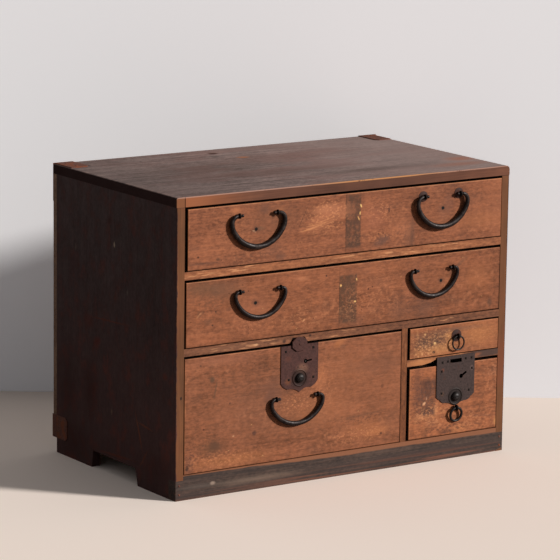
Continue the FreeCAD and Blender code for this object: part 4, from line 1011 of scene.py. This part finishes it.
# Each bail's spacing of its pins, half width, drop, shoulder and radius at its middle
THICK_BAIL = (82, 56.8, 59, 30, 5.3)
THIN_BAIL = (88, 53.8, 50, 26, 4.5)
LARGE_BAIL = (91, 56.5, 49.4, 24, 4.7)
BAILS = {
    "top_left_bail": THICK_BAIL,
    "top_right_bail": THICK_BAIL,
    "middle_left_bail": THIN_BAIL,
    "middle_right_bail": THIN_BAIL,
    "large_bail": LARGE_BAIL,
}
for bail_name, sizes in BAILS.items():
    low, high = box_mm(bail_name)
    middle = (low + high) / 2
    pin_z = high.z - BAIL_KNOB_RADIUS * math.cos(math.pi / CAD_KNOB_SIDES)
    sections = bail_sections(middle.x, middle.y, pin_z, *sizes)
    piece = bar(bail_name + "_forged", sections, BAIL_SIDES, bail_iron)
    shown_as(piece, bail_name, bail_name)

RING_SIDES = 16
RING_STEPS = 72


def ring_sections(middle, radius, wire, lean):
    """A ring about a point, its foot leaning back towards the wood by an angle."""
    upward = Vector((0, -math.sin(lean), math.cos(lean)))
    across = Vector((1, 0, 0))
    sections = []
    for index in range(RING_STEPS):
        angle = 2 * math.pi * index / RING_STEPS
        centre = middle + across * (radius * math.sin(angle)) + upward * (radius * math.cos(angle))
        sections.append((centre, across * math.cos(angle) - upward * math.sin(angle), wire))
    return sections


# Each ring's radius, the radius of its wire and its lean
RINGS = {"small_ring": (13.2, 1.6, 0.0), "square_ring": (13, 2.5, math.radians(7))}
for ring_name, sizes in RINGS.items():
    low, high = box_mm(ring_name)
    sections = ring_sections((low + high) / 2, *sizes)
    piece = bar(ring_name + "_forged", sections, RING_SIDES, black_iron, closed=True)
    shown_as(piece, ring_name, ring_name)


# Leaf springs behind the buttons, which ride with their buttons
LEAF_THICK = 0.8
LEAF_SEAT_GAP = 0.05
LEAF_STEPS = 24


def leaf_rings(low, high):
    """A bowed leaf in its node's box: its crest is towards the front, its ends are near the lock's tray."""
    middle_z = (low.z + high.z) / 2
    half = (high.z - low.z) / 2
    rise = high.y - LEAF_SEAT_GAP - LEAF_THICK - low.y
    radius = (half ** 2 + rise ** 2) / (2 * rise)
    rings = []
    for index in range(LEAF_STEPS + 1):
        along = half * (2 * index / LEAF_STEPS - 1)
        bow = low.y + radius - math.sqrt(radius ** 2 - along ** 2)
        corners = ((low.x, bow), (high.x, bow), (high.x, bow + LEAF_THICK), (low.x, bow + LEAF_THICK))
        rings.append([(x, y, middle_z + along) for x, y in corners])
    return rings


for lock in ("large", "square"):
    spring_node = lock + "_lock_spring"
    low, high = box_mm(spring_node)
    piece = lofted(spring_node + "_leaf", leaf_rings(low, high), painted_shade_iron, smooth=False)
    shown_as(piece, spring_node, lock + "_button")
    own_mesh(piece)


# Camera at the photograph's place
CAMERA_AT = place(-3371.88, -4794.39, 1526.92)
CAMERA_YAW = math.radians(33.91)
CAMERA_PITCH = math.radians(11.19)
CAMERA_ROLL = math.radians(0.74)
camera_data = bpy.data.cameras.new("camera")
camera_data.lens = 209.24
camera_data.sensor_width = 36.0
camera_data.clip_end = 100.0
camera = linked("camera", camera_data)
level = Vector((math.sin(CAMERA_YAW), math.cos(CAMERA_YAW), 0))
right = Vector((math.cos(CAMERA_YAW), -math.sin(CAMERA_YAW), 0))
upward = Vector((0, 0, 1))
forward = level * math.cos(CAMERA_PITCH) - upward * math.sin(CAMERA_PITCH)
lifted = upward * math.cos(CAMERA_PITCH) + level * math.sin(CAMERA_PITCH)
view_right = right * math.cos(CAMERA_ROLL) + lifted * math.sin(CAMERA_ROLL)
view_up = lifted * math.cos(CAMERA_ROLL) - right * math.sin(CAMERA_ROLL)
turned = Matrix((view_right, view_up, -forward)).transposed().to_4x4()
camera.matrix_world = Matrix.Translation(CAMERA_AT) @ turned
scene.camera = camera


# Floor, wall, light and world
def stage_material(name, colour, shown, one_sided=False):
    """A plain surface: the camera sees the colour shown, all other light meets the colour given first."""
    material = bpy.data.materials.new(name)
    material.use_nodes = True
    material.node_tree.nodes.clear()
    add = material.node_tree.nodes.new
    link = material.node_tree.links.new
    rays = add("ShaderNodeLightPath")
    choice = add("ShaderNodeMix")
    choice.data_type = "RGBA"
    choice.inputs[MIX_FIRST].default_value = colour
    choice.inputs[MIX_SECOND].default_value = shown
    link(rays.outputs["Is Camera Ray"], choice.inputs[0])
    surface = add("ShaderNodeBsdfDiffuse")
    link(choice.outputs[MIX_RESULT], surface.inputs["Color"])
    last = surface
    if one_sided:
        geometry = add("ShaderNodeNewGeometry")
        clear = add("ShaderNodeBsdfTransparent")
        last = add("ShaderNodeMixShader")
        link(geometry.outputs["Backfacing"], last.inputs[0])
        link(surface.outputs[0], last.inputs[1])
        link(clear.outputs[0], last.inputs[2])
    output = add("ShaderNodeOutputMaterial")
    link(last.outputs[0], output.inputs["Surface"])
    return material


def sheet(name, corners, material):
    data = bpy.data.meshes.new(name)
    data.from_pydata([tuple(corner) for corner in corners], [], [(0, 1, 2, 3)])
    data.materials.append(material)
    linked(name, data)


FLOOR_REACH = 12.0
FLOOR_COLOUR = (0.36, 0.32, 0.30, 1.0)
FLOOR_SHOWN = (1.10, 0.96, 0.87, 1.0)
sheet("floor", [(x * FLOOR_REACH, y * FLOOR_REACH, 0) for x, y in ((-1, -1), (1, -1), (1, 1), (-1, 1))],
      stage_material("floor", FLOOR_COLOUR, FLOOR_SHOWN))

WALL_AT = place(-181, 904, 0)
WALL_HALF = right * 6.0
WALL_RISE = upward * 4.0
WALL_COLOUR = (0.75, 0.75, 0.75, 1.0)
WALL_SHOWN = (1.61, 1.61, 1.66, 1.0)
sheet("wall", [WALL_AT - WALL_HALF, WALL_AT + WALL_HALF,
               WALL_AT + WALL_HALF + WALL_RISE, WALL_AT - WALL_HALF + WALL_RISE],
      stage_material("wall", WALL_COLOUR, WALL_SHOWN, one_sided=True))

KEY_DIRECTION = Vector((0.92, -1.0, 0.55))
key_data = bpy.data.lights.new("key", "SUN")
key_data.energy = 4.0
key_data.angle = math.radians(7)
key_data.color = (1.0, 0.97, 0.93)
key = linked("key", key_data)
key.rotation_mode = "QUATERNION"
key.rotation_quaternion = KEY_DIRECTION.to_track_quat("Z", "Y")

world = bpy.data.worlds.new("world")
scene.world = world
world.use_nodes = True
background = world.node_tree.nodes["Background"]
background.inputs["Color"].default_value = (0.97, 0.98, 1.0, 1.0)
background.inputs["Strength"].default_value = 0.17

scene.view_settings.view_transform = "Standard"
